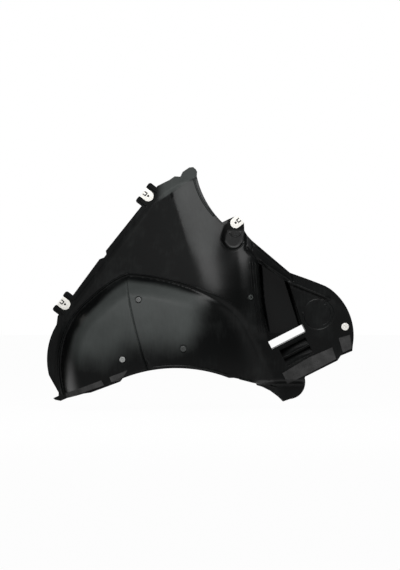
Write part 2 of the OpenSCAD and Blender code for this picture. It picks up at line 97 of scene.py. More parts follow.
# The crease between the left wall and the crest: its place at the top, its lean and its bow
CREASE_TOP_X, CREASE_LEAN, CREASE_BOW = 57, 0.34, 0.0003
# The crest: its far side at the top and its lean, and the height below which it runs nearly level
CREST_FAR_X, CREST_FAR_LEAN, CREST_FOOT, CREST_FOOT_RAKE = 129, 0.29, -246, 0.04
# The low ground on the right, and the distance over which the wall falls to it
LOW_DEPTH, FALL_WIDTH = 26, 215
# The dome's deepest place, and how fast its face falls away upwards, to the left and to the right
DOME_DEEP = (60, -430)
DOME_FALL_UP, DOME_FALL_LEFT, DOME_FALL_RIGHT = 0.0009, 0.0004, 0.002
VALLEY_WIDTH = 4
# The top right edge has two straight stretches, each with its start and the angle of its inner side
EDGE_START, EDGE_START_ANGLE = (245, -99), math.radians(-130.7)
EDGE_BEND, EDGE_BEND_ANGLE = (352, -191), math.radians(-111.8)
LOBE_FLANGE_WIDTH, LOBE_FLANGE_HEIGHT, LOBE_SHOULDER = 24, 8, 8
BLOCK_HEIGHT, BLOCK_TOP, BLOCK_TOP_ANGLE = 5, (238, -121), math.radians(-50.6)
FLAP_STEP, FLAP_TOP, FLAP_LEFT = 22, -455, 258
TOWER_SIDE = [(121, 50), (142.5, -10), (184, -66)]
POCKET_RADIUS, POCKET_LOW = 27, (EAR[0] - 7, EAR[1] - 40)
# The dip at the foot of the pocket, and the height from which the pocket's floor rises
POCKET_DIP, POCKET_DIP_DEPTH, POCKET_DIP_RADIUS, POCKET_FLOOR_TOP = (210, -136), 3, 30, -84
ARCH_X, ARCH_TOP, ARCH_RADIUS = 70, -425, 350
FOOT_Z = -510
NOTCH_WIDTH = 24
PRONG_LENGTH, PRONG_WIDTH = 18, 18
FORK_ANGLE = EDGE_ANGLE + math.pi / 2
# A clip nut: its clearance over the wall, the thickness and lap of its faces, its length and its barrel
CLIP_GAP, CLIP_FACE, CLIP_LAP, CLIP_LENGTH = 0.25, 1.6, 1.5, 16
BARREL_RADIUS, BARREL_LENGTH, CLIP_BORE_RADIUS = 5, 11, 2.5
LATCH = [(4.8, -5.2), (14, -5.2), (14, -2.4), (7.6, -2.4), (7.6, 2.4), (14, 2.4), (14, 5.2), (4.8, 5.2)]
# Heads, shanks and holes of the retainer plug and the push rivets, and the gap under a head
PLUG_RADIUS, PLUG_SHANK, PLUG_HOLE = 9.4, 4, 4.3
RIVET_RADIUS, RIVET_SHANK, RIVET_HOLE = 7, 3, 3.3
SEAT_WIDTH, SEAT_WIDTH_MIDDLE, SEAT_DEPTH = 2, 3.6, 1.6
FIT_GAP = 0.3
SLOT_CENTRE = (345, -350)
SLOT_LENGTH, SLOT_WIDTH = 95, 20
SLOT_ANGLE = math.radians(27)
SLOT_LAND = 0.8
DUCT_LEFT = (273, -166)
DUCT_RIGHT = (350, -217)
DUCT_TOP_DEPTH, DUCT_FOOT_DEPTH = 8, -26
LOUVRE_COUNT, LOUVRE_PITCH, LOUVRE_LENGTH, LOUVRE_HEIGHT = 2, 24, 72, 14
PANEL = (422.5, -295)
PANEL_RADIUS = 37.5
PLUG = (489, -325)
DRAIN = (254, -252)
DRAIN_DIAMETER = 5
RIVETS = {
    "push_rivet_left": (-61, -404),
    "push_rivet_middle": (88, -378),
    "push_rivet_seam": (-22, -258),
}
# The seam starts at the dome's corner, and is the column of the shell's grid with this x
SEAM_TOP, SEAM_COLUMN = (-52.5, -207.5), -26
PADS = {
    "seal_pad_left": [(-206, -490), (-113, -455), (-106, -467), (-202, -501)],
    "seal_pad_arch": [(-93, -447), (-48, -430), (-60, -448), (-69, -456), (-88, -459)],
    "seal_pad_duct": [(333, -440), (400, -401), (457, -376), (467, -405), (390, -445), (346, -467)],
    "seal_pad_lobe": [(473, -353), (501, -345), (506, -379), (483, -389)],
}
FAR_FRONT, FAR_BACK = 300, -80


def smooth(t):
    """Smooth step: 3u^2 - 2u^3, with u held between 0 and 1."""
    u = np.clip(t, 0, 1)
    return u * u * (3 - 2 * u)


def bump(t):
    """Bell curve: e to the power of minus t squared."""
    return np.exp(-np.asarray(t, float) ** 2)


def mix(a, b, t):
    """From a, where t is 0, in a straight line to b, where t is 1."""
    return a + (b - a) * t


def unit(angle):
    """One millimetre in a direction, as its cosine and sine."""
    return np.array([math.cos(angle), math.sin(angle)])


def place(base, *moves):
    """A place moved by several (distance, angle) steps."""
    p = np.array(base, float)
    for distance, angle in moves:
        p = p + distance * unit(angle)
    return p


def circle3(a, b, c):
    """Centre and radius of the circle through three points."""
    a, b, c = (np.array(p, float) for p in (a, b, c))
    d = 2 * (a[0] * (b[1] - c[1]) + b[0] * (c[1] - a[1]) + c[0] * (a[1] - b[1]))
    aa, bb, cc = a @ a, b @ b, c @ c
    x = (aa * (b[1] - c[1]) + bb * (c[1] - a[1]) + cc * (a[1] - b[1])) / d
    z = (aa * (c[0] - b[0]) + bb * (a[0] - c[0]) + cc * (b[0] - a[0])) / d
    centre = np.array([x, z])
    return centre, float(np.linalg.norm(a - centre))


def arc3(a, b, c, steps):
    """Points on the circle through three points, evenly spaced in angle from the first to the last."""
    centre, radius = circle3(a, b, c)
    start = math.atan2(a[1] - centre[1], a[0] - centre[0])
    end = math.atan2(c[1] - centre[1], c[0] - centre[0])
    sweep = (end - start + math.pi) % (2 * math.pi) - math.pi
    t = start + sweep * np.linspace(0, 1, steps + 1)
    return centre + radius * np.stack([np.cos(t), np.sin(t)], 1)


def arc(centre, radius, first, last, count):
    """Points on a circle about a centre, evenly spaced between two angles in degrees."""
    t = np.radians(np.linspace(first, last, count))
    return np.stack([centre[0] + radius * np.cos(t), centre[1] + radius * np.sin(t)], 1)


def edge_out(x, z):
    """Outward distance from the line through the two clip nuts of the left edge."""
    return -x * math.sin(EDGE_ANGLE) + z * math.cos(EDGE_ANGLE)


def left_in(x, z):
    """Distance in from the left side: from the straight edge above, from the round bulge below."""
    straight = -EDGE_INSET - edge_out(x, z)
    bulge = DOME_RADIUS + RIM_WIDTH - np.hypot(np.minimum(x - DOME_CENTRE[0], 0), z - DOME_CENTRE[1])
    return mix(bulge, straight, smooth((z + 370) / 120))


def crease_x(z):
    """Where the left wall turns into the crest: a parabola in the drop below z = 10."""
    drop = np.clip(10 - z, -60, 300)
    return CREASE_TOP_X + CREASE_LEAN * drop - CREASE_BOW * drop * drop


def crest_x(z):
    """Middle of the crest: halfway from the crease to a straight line that leans to the right."""
    drop = np.minimum(np.clip(10 - z, -60, 300), 240)
    return (crease_x(z) + CREST_FAR_X + CREST_FAR_LEAN * drop) / 2


def crest_depth(z, s):
    """Depth of the crest: where the flat left wall brings it, and nearly level below the dome's top."""
    over = 16 * np.logaddexp((z - CREST_FOOT) / 16, 0)
    h = CREST_FOOT + over
    rise = s.wall_slope * (left_in(crease_x(h), h) - EDGE_FLANGE_WIDTH)
    return s.wall / 2 + rise + CREST_FOOT_RAKE * (h - z)


def over_top_line(x, z):
    """Distance above the line where the top flange leans back."""
    line = place((112, TOWER_HEIGHT), (TOP_FLANGE_WIDTH, TOP_LINE_ANGLE - math.pi / 2))
    n = unit(TOP_LINE_ANGLE + math.pi / 2)
    return (x - line[0]) * n[0] + (z - line[1]) * n[1]


def on_top_flange(x, z):
    """Distance above the top line, which fades out beside the upper fork."""
    return np.maximum(over_top_line(x, z), 0) * smooth((x - TOP_FLANGE_LEFT) / 14)


def wall_depth(x, z, s):
    """The wall without the dome: a slope up from the left flange to the crease, a bowed crest, and a
    smooth fall to the low ground on the right. Above the top line it goes on from the line at a lean, and
    its bends are averaged out along the line."""
    over = on_top_flange(x, z)
    n, along = unit(TOP_LINE_ANGLE + math.pi / 2), unit(TOP_LINE_ANGLE)
    x, z = x - over * n[0], z - over * n[1]
    reach = 36 * smooth(over / 10)
    shares = [
        wall_plain(x + k * reach * along[0], z + k * reach * along[1], s) for k in (-1, -0.5, 0, 0.5, 1)
    ]
    return np.maximum(s.wall / 2, sum(shares) / len(shares) - 0.5 * over)


def wall_plain(x, z, s):
    """The wall below the top line."""
    f0 = s.wall / 2
    crest = crest_depth(z, s)
    full = left_in(crease_x(z), z)
    left = f0 + (crest - f0) * np.maximum(
        (left_in(x, z) - EDGE_FLANGE_WIDTH) / np.maximum(full - EDGE_FLANGE_WIDTH, 30), 0
    )
    t = (crest_x(z) - x) / (crest_x(z) - crease_x(z))
    bow = s.crest_bow * (0.45 + 0.55 * smooth((-z - 60) / 140))
    middle = crest + bow * (1 - t * t)
    right = mix(crest + bow, LOW_DEPTH, smooth((x - crest_x(z)) / FALL_WIDTH))
    return np.where(x < crease_x(z), left, np.where(x < crest_x(z), middle, right))


def shoulder_draw(angle):
    """How far the dome's round side is drawn in, at an angle in degrees seen from its centre."""
    return 8 * bump((angle - 130) / 17)


def dome_in(x, z):
    """Distance in from the dome's outline: the least of the distances from a circle on the left, a flat
    arc on top and a line on the right, the last two rounded into each other."""
    across, up = np.minimum(x - DOME_CENTRE[0], 0), z - DOME_CENTRE[1]
    round_in = DOME_RADIUS - shoulder_draw(np.degrees(np.arctan2(up, across))) - np.hypot(across, up)
    top_in = DOME_TOP_RADIUS - np.hypot(x - DOME_TOP_CENTRE[0], z - DOME_TOP_CENTRE[1])
    n = unit(DOME_SIDE_ANGLE - math.pi / 2)
    side_in = (x - DOME_SIDE[0]) * n[0] + (z - DOME_SIDE[1]) * n[1]
    soft = -16 * np.logaddexp(-top_in / 16, -side_in / 16)
    return np.minimum(round_in, soft)


def dome_face(x, z, s):
    """The dome's own face: parabolas fall away from its deepest place to the top, the left and the right."""
    right, up = x - DOME_DEEP[0], z - DOME_DEEP[1]
    return (
        s.dome_depth - DOME_FALL_UP * np.maximum(up, 0) ** 2
        - DOME_FALL_LEFT * np.minimum(right, 0) ** 2 - DOME_FALL_RIGHT * np.maximum(right, 0) ** 2
    )


def dome_part(x, z, s):
    """How far the wall has turned into the dome's face: a quarter sine over the dome's run."""
    return np.sin(math.pi / 2 * np.clip((dome_in(x, z) - VALLEY_WIDTH) / s.dome_run, 0, 1))


def block_side(z):
    """The rib block's right side, which follows the duct's left wall."""
    return 268 + 0.08 * np.clip(-165 - z, 0, 97) + 0.17 * np.maximum(-262 - z, 0)


def block_rise(x, z):
    """Raised ground between the pocket and the duct: it comes out of the wall on the left without a step,
    ends in a chamfer along a slanting line on top and falls steeply on the right."""
    n = unit(BLOCK_TOP_ANGLE - math.pi / 2)
    below = (x - BLOCK_TOP[0]) * n[0] + (z - BLOCK_TOP[1]) * n[1]
    across = smooth((x - block_side(z) + 48) / 36) * (1 - smooth((x - block_side(z)) / 5))
    return BLOCK_HEIGHT * across * smooth((below + 2) / 5) * (1 - smooth((-z - 315) / 45))


def right_in(x, z):
    """Distance in from the two straight stretches of the top right edge."""
    a, b = unit(EDGE_START_ANGLE), unit(EDGE_BEND_ANGLE)
    first = (x - EDGE_START[0]) * a[0] + (z - EDGE_START[1]) * a[1]
    second = (x - EDGE_BEND[0]) * b[0] + (z - EDGE_BEND[1]) * b[1]
    return np.maximum(first, second)


def lobe_rise(x, z):
    """A raised strip along the top right edge, from the pocket to the lobe."""
    ends = smooth((x - 236) / 10) * (1 - smooth((x - 438) / 30))
    return LOBE_FLANGE_HEIGHT * (1 - smooth((right_in(x, z) - LOBE_FLANGE_WIDTH) / LOBE_SHOULDER)) * ends


def flap_drop(x, z):
    """The flap at the foot of the duct lies further back."""
    return FLAP_STEP * smooth((FLAP_TOP - z) / 16) * smooth((x - FLAP_LEFT) / 14)


def pocket_out(x, z):
    """Distance out from a round-ended slot below the front clip nut."""
    a, b = np.array(POCKET_LOW), np.array(EAR) + 6
    d = b - a
    t = np.clip(((x - a[0]) * d[0] + (z - a[1]) * d[1]) / (d @ d), 0, 1)
    return np.hypot(x - a[0] - t * d[0], z - a[1] - t * d[1]) - POCKET_RADIUS


def tower_roll(x, z):
    """The tower's hollow right side rolls back over its last four millimetres."""
    centre, radius = circle3(*TOWER_SIDE)
    inside = np.hypot(x - centre[0], z - centre[1]) - radius
    return 1.2 * (1 - smooth(inside / 4)) * smooth((z + 78) / 16) * smooth((x - 92) / 20)


def arch_roll(x, z):
    """The edge over the wheel rolls back over its last four millimetres."""
    above = np.hypot(x - ARCH_X, z - ARCH_TOP + ARCH_RADIUS) - ARCH_RADIUS
    return 2 * (1 - smooth(above / 4)) * smooth((z + 470) / 20)


def seam_x(z):
    """The seam bows down from the dome's corner to the arch edge: a parabola in the drop below it."""
    t = np.clip(SEAM_TOP[1] - z, 0, 230)
    return SEAM_TOP[0] + 0.137 * t + 0.0005 * t * t


def depth(x, z, s):
    """Depth of the face: the wall, the dome and the raised strips, with the ear's flat pocket let in."""
    face = mix(wall_depth(x, z, s), dome_face(x, z, s), dome_part(x, z, s))
    face = face - s.valley_depth * bump((dome_in(x, z) - 6) / 5)
    face = face + block_rise(x, z) + lobe_rise(x, z) - flap_drop(x, z)
    face = face - tower_roll(x, z) - arch_roll(x, z)
    from_dip = np.hypot(x - POCKET_DIP[0], z - POCKET_DIP[1])
    face = face - POCKET_DIP_DEPTH * bump(from_dip / POCKET_DIP_RADIUS)
    floor = EAR_DEPTH + 0.16 * np.maximum(POCKET_FLOOR_TOP - z, 0)
    return mix(floor, face, smooth((pocket_out(x, z) + 7) / 10))


def slope(x, z, s):
    """Slope of the face along x and z, from differences over two millimetres."""
    gx = (depth(x + 1, z, s) - depth(x - 1, z, s)) / 2
    gz = (depth(x, z + 1, s) - depth(x, z - 1, s)) / 2
    return gx, gz


def back_depth(x, z, s):
    """The back of the wall, set back square to the face."""
    gx, gz = slope(x, z, s)
    return depth(x, z, s) - s.wall * np.sqrt(1 + gx * gx + gz * gz)


def duct_floor(x, z):
    """The duct's floor drops below its top wall, runs gently down to the slot's land and goes deeper into a
    corner along each side wall."""
    right = slot_corner(1, 1)
    lean = (right[0] - DUCT_RIGHT[0]) / (DUCT_RIGHT[1] - right[1])
    from_right = DUCT_RIGHT[0] + lean * (DUCT_RIGHT[1] - z) - x
    from_left = x - block_side(z) - 6
    deep_right, deep_left = 15, 7
    corner = deep_right * (1 - smooth((from_right - 1) / 8)) + deep_left * (1 - smooth((from_left - 1) / 7))
    drop, run = 13 * smooth((-z - 170) / 45), 0.155 * np.maximum(-z - 205, 0)
    floor = DUCT_TOP_DEPTH - drop - run
    return np.maximum(floor - corner, DUCT_FOOT_DEPTH)


def turned(points, angle, at):
    """Points turned about 0, 0 and then moved to a place."""
    p = np.array(points, float)
    c, s = math.cos(angle), math.sin(angle)
    return np.stack([p[:, 0] * c - p[:, 1] * s + at[0], p[:, 0] * s + p[:, 1] * c + at[1]], 1)


def liner_outline():
    """Outline of the liner, clockwise from the top of the tower, without forks and notches."""
    up, down = EDGE_ANGLE, EDGE_ANGLE + math.pi
    inward = EDGE_ANGLE - math.pi / 2
    arch_x = np.arange(200, -61, -6.5)
    arch_z = ARCH_TOP - ARCH_RADIUS + np.sqrt(ARCH_RADIUS**2 - (arch_x - ARCH_X) ** 2)
    bulge_top = place(DOME_CENTRE, (DOME_RADIUS + RIM_WIDTH, math.radians(176)))
    return np.concatenate([
        [(86, 60), (102, TOWER_HEIGHT - 1), (112, TOWER_HEIGHT), (119, TOWER_HEIGHT - 6), (122, 60)],
        arc3(*TOWER_SIDE, 24),
        [(198, -59), (219, -50), (229, -55), (238, -68), (239, -87), (246, -99), (257, -111), EDGE_BEND],
        arc3((377, -200), (402, -209), (440, -224), 8),
        arc3((452, -231), (490, -273), (508, -372), 30),
        [(507, -385), (478, -397), (470, -409), (390, -449)],
        arc3((389, -453), (389, -476), (353, -505), 14),
        [(335, FOOT_Z - 1), (323, -499), (303, -484), (283, -474), (270, -470), (265, -461), (212, -450)],
        np.stack([arch_x, arch_z], 1),
        [(-66, -458), (-138, -485), (-157, -488), (-200, -502), (-218, FOOT_Z)],
        [(-232, FOOT_Z + 3), (-236, FOOT_Z + 7), (-223, -497), (-223, -489)],
        arc3((-247, -446), bulge_top, (-228, -320), 26),
        [place(CLIP_LOWER, (EDGE_INSET, inward), (34, down))],
        [(-121, -157), (-110, -153), (-104, -145), (-105.5, -136.5)],
        [place((0, 0), (EDGE_INSET, inward), (34, up)), (53, 40), (66, 49), (80, 48)],
    ])


def prong_outline(side):
    """One prong of a fork tab, outward along x: square at its root and round at its tip."""
    inner = NOTCH_WIDTH / 2 - 1
    outer = NOTCH_WIDTH / 2 + PRONG_WIDTH
    r = 6
    tip = PRONG_LENGTH - r
    near, far = arc((tip, inner + r + 1), r, -90, 0, 7), arc((tip, outer - r), r, 0, 90, 7)
    return np.concatenate([[(-14, inner)], near, far, [(-14, outer)]]) * (1, side)


def notch_outline(grow, length):
    """Round-ended notch about a screw axis, outward along x."""
    r = NOTCH_WIDTH / 2 + grow
    return np.concatenate([arc((0, 0), r, 90, 270, 25), [(length, -r), (length, r)]])


def slot_corner(sx, sz):
    """A corner of the air slot: sx and sz say which, as -1 or 1."""
    half_length, half_width = sx * SLOT_LENGTH / 2, sz * SLOT_WIDTH / 2
    return place(SLOT_CENTRE, (half_length, SLOT_ANGLE), (half_width, SLOT_ANGLE + math.pi / 2))


def rectangle(centre, angle, length, width):
    """Corners of a rectangle about a centre, with its length at an angle."""
    corners = np.array([(-1, -1), (1, -1), (1, 1), (-1, 1)]) / 2
    return turned(corners * (length, width), angle, centre)


def duct_outline(grow=0):
    """The duct's footprint, grown outwards from its middle by a distance along each corner's ray."""
    points = np.array(
        [
            DUCT_LEFT, DUCT_RIGHT, slot_corner(1, 1), slot_corner(1, -1), slot_corner(-1, -1),
            slot_corner(-1, 1), (DUCT_LEFT[0] + 8, -262),
        ],
        float,
    )
    if not grow:
        return points
    before, after = np.roll(points, 1, 0), np.roll(points, -1, 0)
    a = (points - before) / np.linalg.norm(points - before, axis=1)[:, None]
    b = (after - points) / np.linalg.norm(after - points, axis=1)[:, None]
    na, nb = np.stack([-a[:, 1], a[:, 0]], 1), np.stack([-b[:, 1], b[:, 0]], 1)
    mitre = (na + nb) / (1 + (na * nb).sum(1))[:, None]
    return points + grow * mitre


def louvre_centre():
    """The louvres lie square to the air slot, under it and a little to the right."""
    drop = SLOT_WIDTH / 2 + 6 + LOUVRE_PITCH * LOUVRE_COUNT / 2
    return place(SLOT_CENTRE, (drop, SLOT_ANGLE - math.pi / 2)) + np.array([4, 0])


def new_mesh(name, points, faces):
    """A mesh object from points in millimetres and faces as lists of indices."""
    mesh = bpy.data.meshes.new(name)
    mesh.from_pydata((np.asarray(points, float) * MM).tolist(), [], [list(f) for f in faces])
    mesh.update()
    obj = bpy.data.objects.new(name, mesh)
    bpy.context.scene.collection.objects.link(obj)
    return obj


def quad_mesh(name, points, quads):
    """A mesh object from an array of points in millimetres and an array of four-cornered faces."""
    mesh = bpy.data.meshes.new(name)
    mesh.vertices.add(len(points))
    mesh.vertices.foreach_set("co", (np.asarray(points) * MM).astype(np.float32).ravel())
    mesh.loops.add(quads.size)
    mesh.loops.foreach_set("vertex_index", quads.astype(np.int32).ravel())
    mesh.polygons.add(len(quads))
    mesh.polygons.foreach_set("loop_start", np.arange(0, quads.size, 4, dtype=np.int32))
    mesh.update(calc_edges=True)
    obj = bpy.data.objects.new(name, mesh)
    bpy.context.scene.collection.objects.link(obj)
    return obj


def slab(name, u, v, front, back, lean=None):
    """Closed slab on a grid: front and back are depths at (x, z), and lean moves the columns sideways."""
    gu, gv = np.meshgrid(u, v)
    x = gu if lean is None else lean(gu, gv)
    nx, nz = len(u), len(v)
    n = nx * nz
    points = np.empty((2 * n, 3))
    points[:n] = np.stack([x, -front(x, gv, gu), gv], -1).reshape(-1, 3)
    points[n:] = np.stack([x, -back(x, gv, gu), gv], -1).reshape(-1, 3)
    i, j = np.meshgrid(np.arange(nx - 1), np.arange(nz - 1))
    a = (j * nx + i).ravel()
    face = np.stack([a, a + 1, a + nx + 1, a + nx], 1)
    rear = face[:, ::-1] + n
    low = np.stack([np.arange(nx - 1), np.arange(1, nx)], 1)
    high = low[:, ::-1] + n - nx
    right = np.stack([np.arange(nz - 1) * nx + nx - 1, np.arange(1, nz) * nx + nx - 1], 1)
    left = np.stack([np.arange(1, nz) * nx, np.arange(nz - 1) * nx], 1)
    e = np.concatenate([low, high, right, left])
    rim = np.stack([e[:, 1], e[:, 0], e[:, 0] + n, e[:, 1] + n], 1)
    return quad_mesh(name, points, np.concatenate([face, rear, rim]))


def steps(low, high, size):
    """Even steps from low to high, as near to a size as fits."""
    return np.linspace(low, high, max(2, int(round((high - low) / size)) + 1))


def loft(name, first, second):
    """Closed solid between two rings of as many points, with flat ends."""
    n = len(first)
    k = np.arange(n)
    after = (k + 1) % n
    sides = np.stack([after, k, k + n, after + n], 1)
    ends = [k.tolist(), (k[::-1] + n).tolist()]
    return new_mesh(name, np.concatenate([first, second]), ends + sides.tolist())


def prism(name, outline, y0=-FAR_FRONT, y1=-FAR_BACK):
    """Closed prism: an outline on the face, carried from y0 to y1."""
    p = np.array(outline, float)
    area = np.sum(p[:, 0] * np.roll(p[:, 1], -1) - np.roll(p[:, 0], -1) * p[:, 1])
    if area < 0:
        p = p[::-1]
    front, rear = (np.stack([p[:, 0], np.full(len(p), float(y)), p[:, 1]], 1) for y in (y0, y1))
    return loft(name, front, rear)


def disc(radius, at, count=32):
    """Points of a full circle, from the angle 0 on."""
    return arc(at, radius, 0, 360, count + 1)[:-1]


def lathe(name, profile, count=48):
    """Solid of revolution about z: a profile of (radius, height), from the axis below to the axis above."""
    p = np.array(profile, float)
    ring = p[1:-1]
    circle = disc(1, (0, 0), count)
    around = ring[:, None, :1] * circle[None]
    height = np.broadcast_to(ring[:, None, 1:], (len(ring), count, 1))
    points = np.concatenate([around, height], 2).reshape(-1, 3)
    points = np.concatenate([[(0, 0, p[0, 1])], points, [(0, 0, p[-1, 1])]])
    k = np.arange(count)
    after = (k + 1) % count
    base = 1 + count * np.arange(len(ring) - 1)[:, None]
    low = np.stack([0 * k, 1 + after, 1 + k], 1)
    wall = np.stack([base + k, base + after, base + count + after, base + count + k], -1).reshape(-1, 4)
    top = 1 + (len(ring) - 1) * count
    high = np.stack([top + k, top + after, 0 * k + len(points) - 1], 1)
    return new_mesh(name, points, low.tolist() + wall.tolist() + high.tolist())


def ridge(name, path, half_width, height, s, way=1, sink=0.5, lead=5):
    """Low rounded ridge on the face: at each place along the path the profile is a half sine across,
    laid on the face and run down to nothing over its first and last millimetres. A way of -1 turns it into
    the tool for a groove."""
    path = np.array(path, float)
    along = np.gradient(path, axis=0)
    along /= np.linalg.norm(along, axis=1)[:, None]
    across = np.stack([along[:, 1], -along[:, 0]], 1)
    t = np.linspace(-1, 1, 9)
    run = np.concatenate([[0], np.cumsum(np.linalg.norm(np.diff(path, axis=0), axis=1))])
    fade = np.minimum(1, np.minimum(run, run[-1] - run) / lead) ** 0.5
    lift = np.cos(t * math.pi / 2) * (height + sink) - sink
    x = path[:, None, 0] + across[:, None, 0] * t * half_width
    z = path[:, None, 1] + across[:, None, 1] * t * half_width
    h = (lift[None, :] + sink) * (0.25 + 0.75 * fade[:, None]) - sink
    points = np.stack([x, -(depth(x, z, s) + way * h), z], -1)
    m, k = len(t), len(path)
    i, j = np.meshgrid(np.arange(m), np.arange(k - 1))
    a, b = (j * m + i).ravel(), (j * m + (i + 1) % m).ravel()
    quads = np.stack([a, b, b + m, a + m], 1)
    faces = quads.tolist() + [list(range(m))[::-1], list(range((k - 1) * m, k * m))]
    return new_mesh(name, points.reshape(-1, 3), faces)


def outward(obj):
    """Turns a closed mesh the right way out: its volume, summed over its triangles, has to be positive."""
    mesh = obj.data
    mesh.calc_loop_triangles()
    tri = np.empty(len(mesh.loop_triangles) * 3, dtype=np.int32)
    mesh.loop_triangles.foreach_get("vertices", tri)
    co = np.empty(len(mesh.vertices) * 3)
    mesh.vertices.foreach_get("co", co)
    p = co.reshape(-1, 3)[tri.reshape(-1, 3)]
    if np.einsum("ij,ij->i", p[:, 0], np.cross(p[:, 1], p[:, 2])).sum() < 0:
        mesh.flip_normals()
    return obj


def apply_modifiers(obj):
    """Replaces an object's mesh with what its modifiers make of it."""
    graph = bpy.context.evaluated_depsgraph_get()
    mesh = bpy.data.meshes.new_from_object(obj.evaluated_get(graph))
    obj.modifiers.clear()
    old = obj.data
    obj.data = mesh
    mesh.name = obj.name
    bpy.data.meshes.remove(old)


def carve(base, tool, operation="DIFFERENCE"):
    """Cuts, joins or meets a closed solid with another, which is then removed."""
    outward(base)
    outward(tool)
    cut = base.modifiers.new("cut", "BOOLEAN")
    cut.operation = operation
    cut.solver = "MANIFOLD"
    cut.object = tool
    apply_modifiers(base)
    mesh = tool.data
    bpy.data.objects.remove(tool)
    bpy.data.meshes.remove(mesh)
    return base


def finish_piece(obj, material, slot, *nodes, sharp=34):
    """Smooth shading between sharp edges, its material, and the CAD nodes that it stands for, which are
    hidden. The slot is not used.
    """
    mesh = obj.data
    mesh.materials.clear()
    mesh.materials.append(material)
    mesh.polygons.foreach_set("material_index", np.zeros(len(mesh.polygons), dtype=np.int32))
    mesh.polygons.foreach_set("use_smooth", np.ones(len(mesh.polygons), dtype=bool))
    mesh.set_sharp_from_angle(angle=math.radians(sharp))
    mesh.update()
    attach(obj, "root")
    if nodes:
        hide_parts(*nodes)
    return obj


def linear(hex_colour):
    """sRGB hex to linear red, green and blue."""
    channels = [int(hex_colour[k : k + 2], 16) / 255 for k in (1, 3, 5)]
    return tuple(c / 12.92 if c <= 0.04045 else ((c + 0.055) / 1.055) ** 2.4 for c in channels)


def node(tree, kind, settings=None, **links):
    """Adds a shader node: settings are its own values, and links its inputs, as values or other sockets. An
    input goes by its name, or by in and its number where several have one name."""
    made = tree.nodes.new(kind)
    for key, value in (settings or {}).items():
        setattr(made, key, value)
    for key, value in links.items():
        numbered = key.startswith("in") and key[2:].isdigit()
        socket = made.inputs[int(key[2:]) if numbered else key.replace("_", " ")]
        if isinstance(value, bpy.types.NodeSocket):
            tree.links.new(value, socket)
        else:
            socket.default_value = value
    return made


def add(tree, a, b):
    """A node for the sum of two values."""
    return node(tree, "ShaderNodeMath", {"operation": "ADD"}, in0=a, in1=b)


def blank_material(name):
    """A new material and its empty node tree."""
    material = bpy.data.materials.new(name)
    material.use_nodes = True
    material.node_tree.nodes.clear()
    return material, material.node_tree


def moulded_black_polypropylene(s):
    """Black polypropylene, injection moulded: a satin sheen over a fine grain, painted paler where the
    shell's painted light and dust level is high: painted light on the top flange, the crest band and the
    drain's rim, and dust with painted light on the dome."""
    material, tree = blank_material("moulded_black_polypropylene")
    coords = node(tree, "ShaderNodeTexCoord").outputs["Object"]
    tone = node(tree, "ShaderNodeAttribute", {"attribute_name": "tone"}).outputs["Fac"]
    # Cloudy flow marks about 60 mm across
    cloud = node(tree, "ShaderNodeTexNoise", Vector=coords, Scale=1 / 0.06, Detail=3.0, Roughness=0.55)
    # Grain 0.5 mm wide on the part, drawn 1.6 mm wide so that it shows
    grain = node(tree, "ShaderNodeTexNoise", Vector=coords, Scale=1 / 0.0016, Detail=2.0, Roughness=0.6)
    # Wiping streaks about 5 mm wide and 40 mm long
    drawn = node(tree, "ShaderNodeMapping", Vector=coords, Scale=(1, 1, 0.12)).outputs["Vector"]
    streak = node(tree, "ShaderNodeTexNoise", Vector=drawn, Scale=1 / 0.005, Detail=2.0)
    marks = node(tree, "ShaderNodeMapRange", Value=streak.outputs["Fac"], To_Min=-0.1, To_Max=0.1)
    shade = node(
        tree, "ShaderNodeMapRange", Value=cloud.outputs["Fac"], From_Min=0.3, From_Max=0.7, To_Min=-0.1,
        To_Max=0.1,
    )
    uneven = add(tree, marks.outputs["Result"], shade.outputs["Result"])
    level = add(tree, tone, uneven.outputs[0])
    colour = node(
        tree, "ShaderNodeMix", {"data_type": "RGBA"},
        in0=level.outputs[0], in6=(*s.shell_dark, 1), in7=(*s.shell_dust_and_painted_light, 1),
    )
    # Where the painted light and dust level is high, the sheen is scattered more
    fine = node(tree, "ShaderNodeMapRange", Value=grain.outputs["Fac"], To_Min=0.3, To_Max=0.36)
    rough = node(
        tree, "ShaderNodeMath", {"operation": "MULTIPLY_ADD"}, in0=tone, in1=0.22, in2=fine.outputs["Result"],
    )
    lift = node(tree, "ShaderNodeBump", Height=grain.outputs["Fac"], Strength=0.25, Distance=0.0002)
    shader = node(
        tree, "ShaderNodeBsdfPrincipled", Base_Color=colour.outputs[2], Roughness=rough.outputs[0],
        IOR=1.49, Normal=lift.outputs["Normal"],
    )
    # The fine grain breaks up about half of the sheen
    shader.inputs["Specular IOR Level"].default_value = 0.13
    node(tree, "ShaderNodeOutputMaterial", Surface=shader.outputs[0])
    return material


def moulded_nylon(name, colour, rough_low, rough_high):
    """Nylon, injection moulded: a smooth, slightly waxy surface with faint flow marks."""
    material, tree = blank_material(name)
    coords = node(tree, "ShaderNodeTexCoord").outputs["Object"]
    # Flow marks about 4 mm across
    flow = node(tree, "ShaderNodeTexNoise", Vector=coords, Scale=1 / 0.004, Detail=2.0)
    rough = node(tree, "ShaderNodeMapRange", Value=flow.outputs["Fac"], To_Min=rough_low, To_Max=rough_high)
    tint = node(
        tree, "ShaderNodeMix", {"data_type": "RGBA"},
        in0=flow.outputs["Fac"], in6=(*[c * 0.9 for c in colour], 1), in7=(*colour, 1),
    )
    lift = node(tree, "ShaderNodeBump", Height=flow.outputs["Fac"], Strength=0.1, Distance=0.0002)
    shader = node(
        tree, "ShaderNodeBsdfPrincipled", Base_Color=tint.outputs[2], Roughness=rough.outputs["Result"],
        IOR=1.53, Normal=lift.outputs["Normal"],
    )
    node(tree, "ShaderNodeOutputMaterial", Surface=shader.outputs[0])
    return material


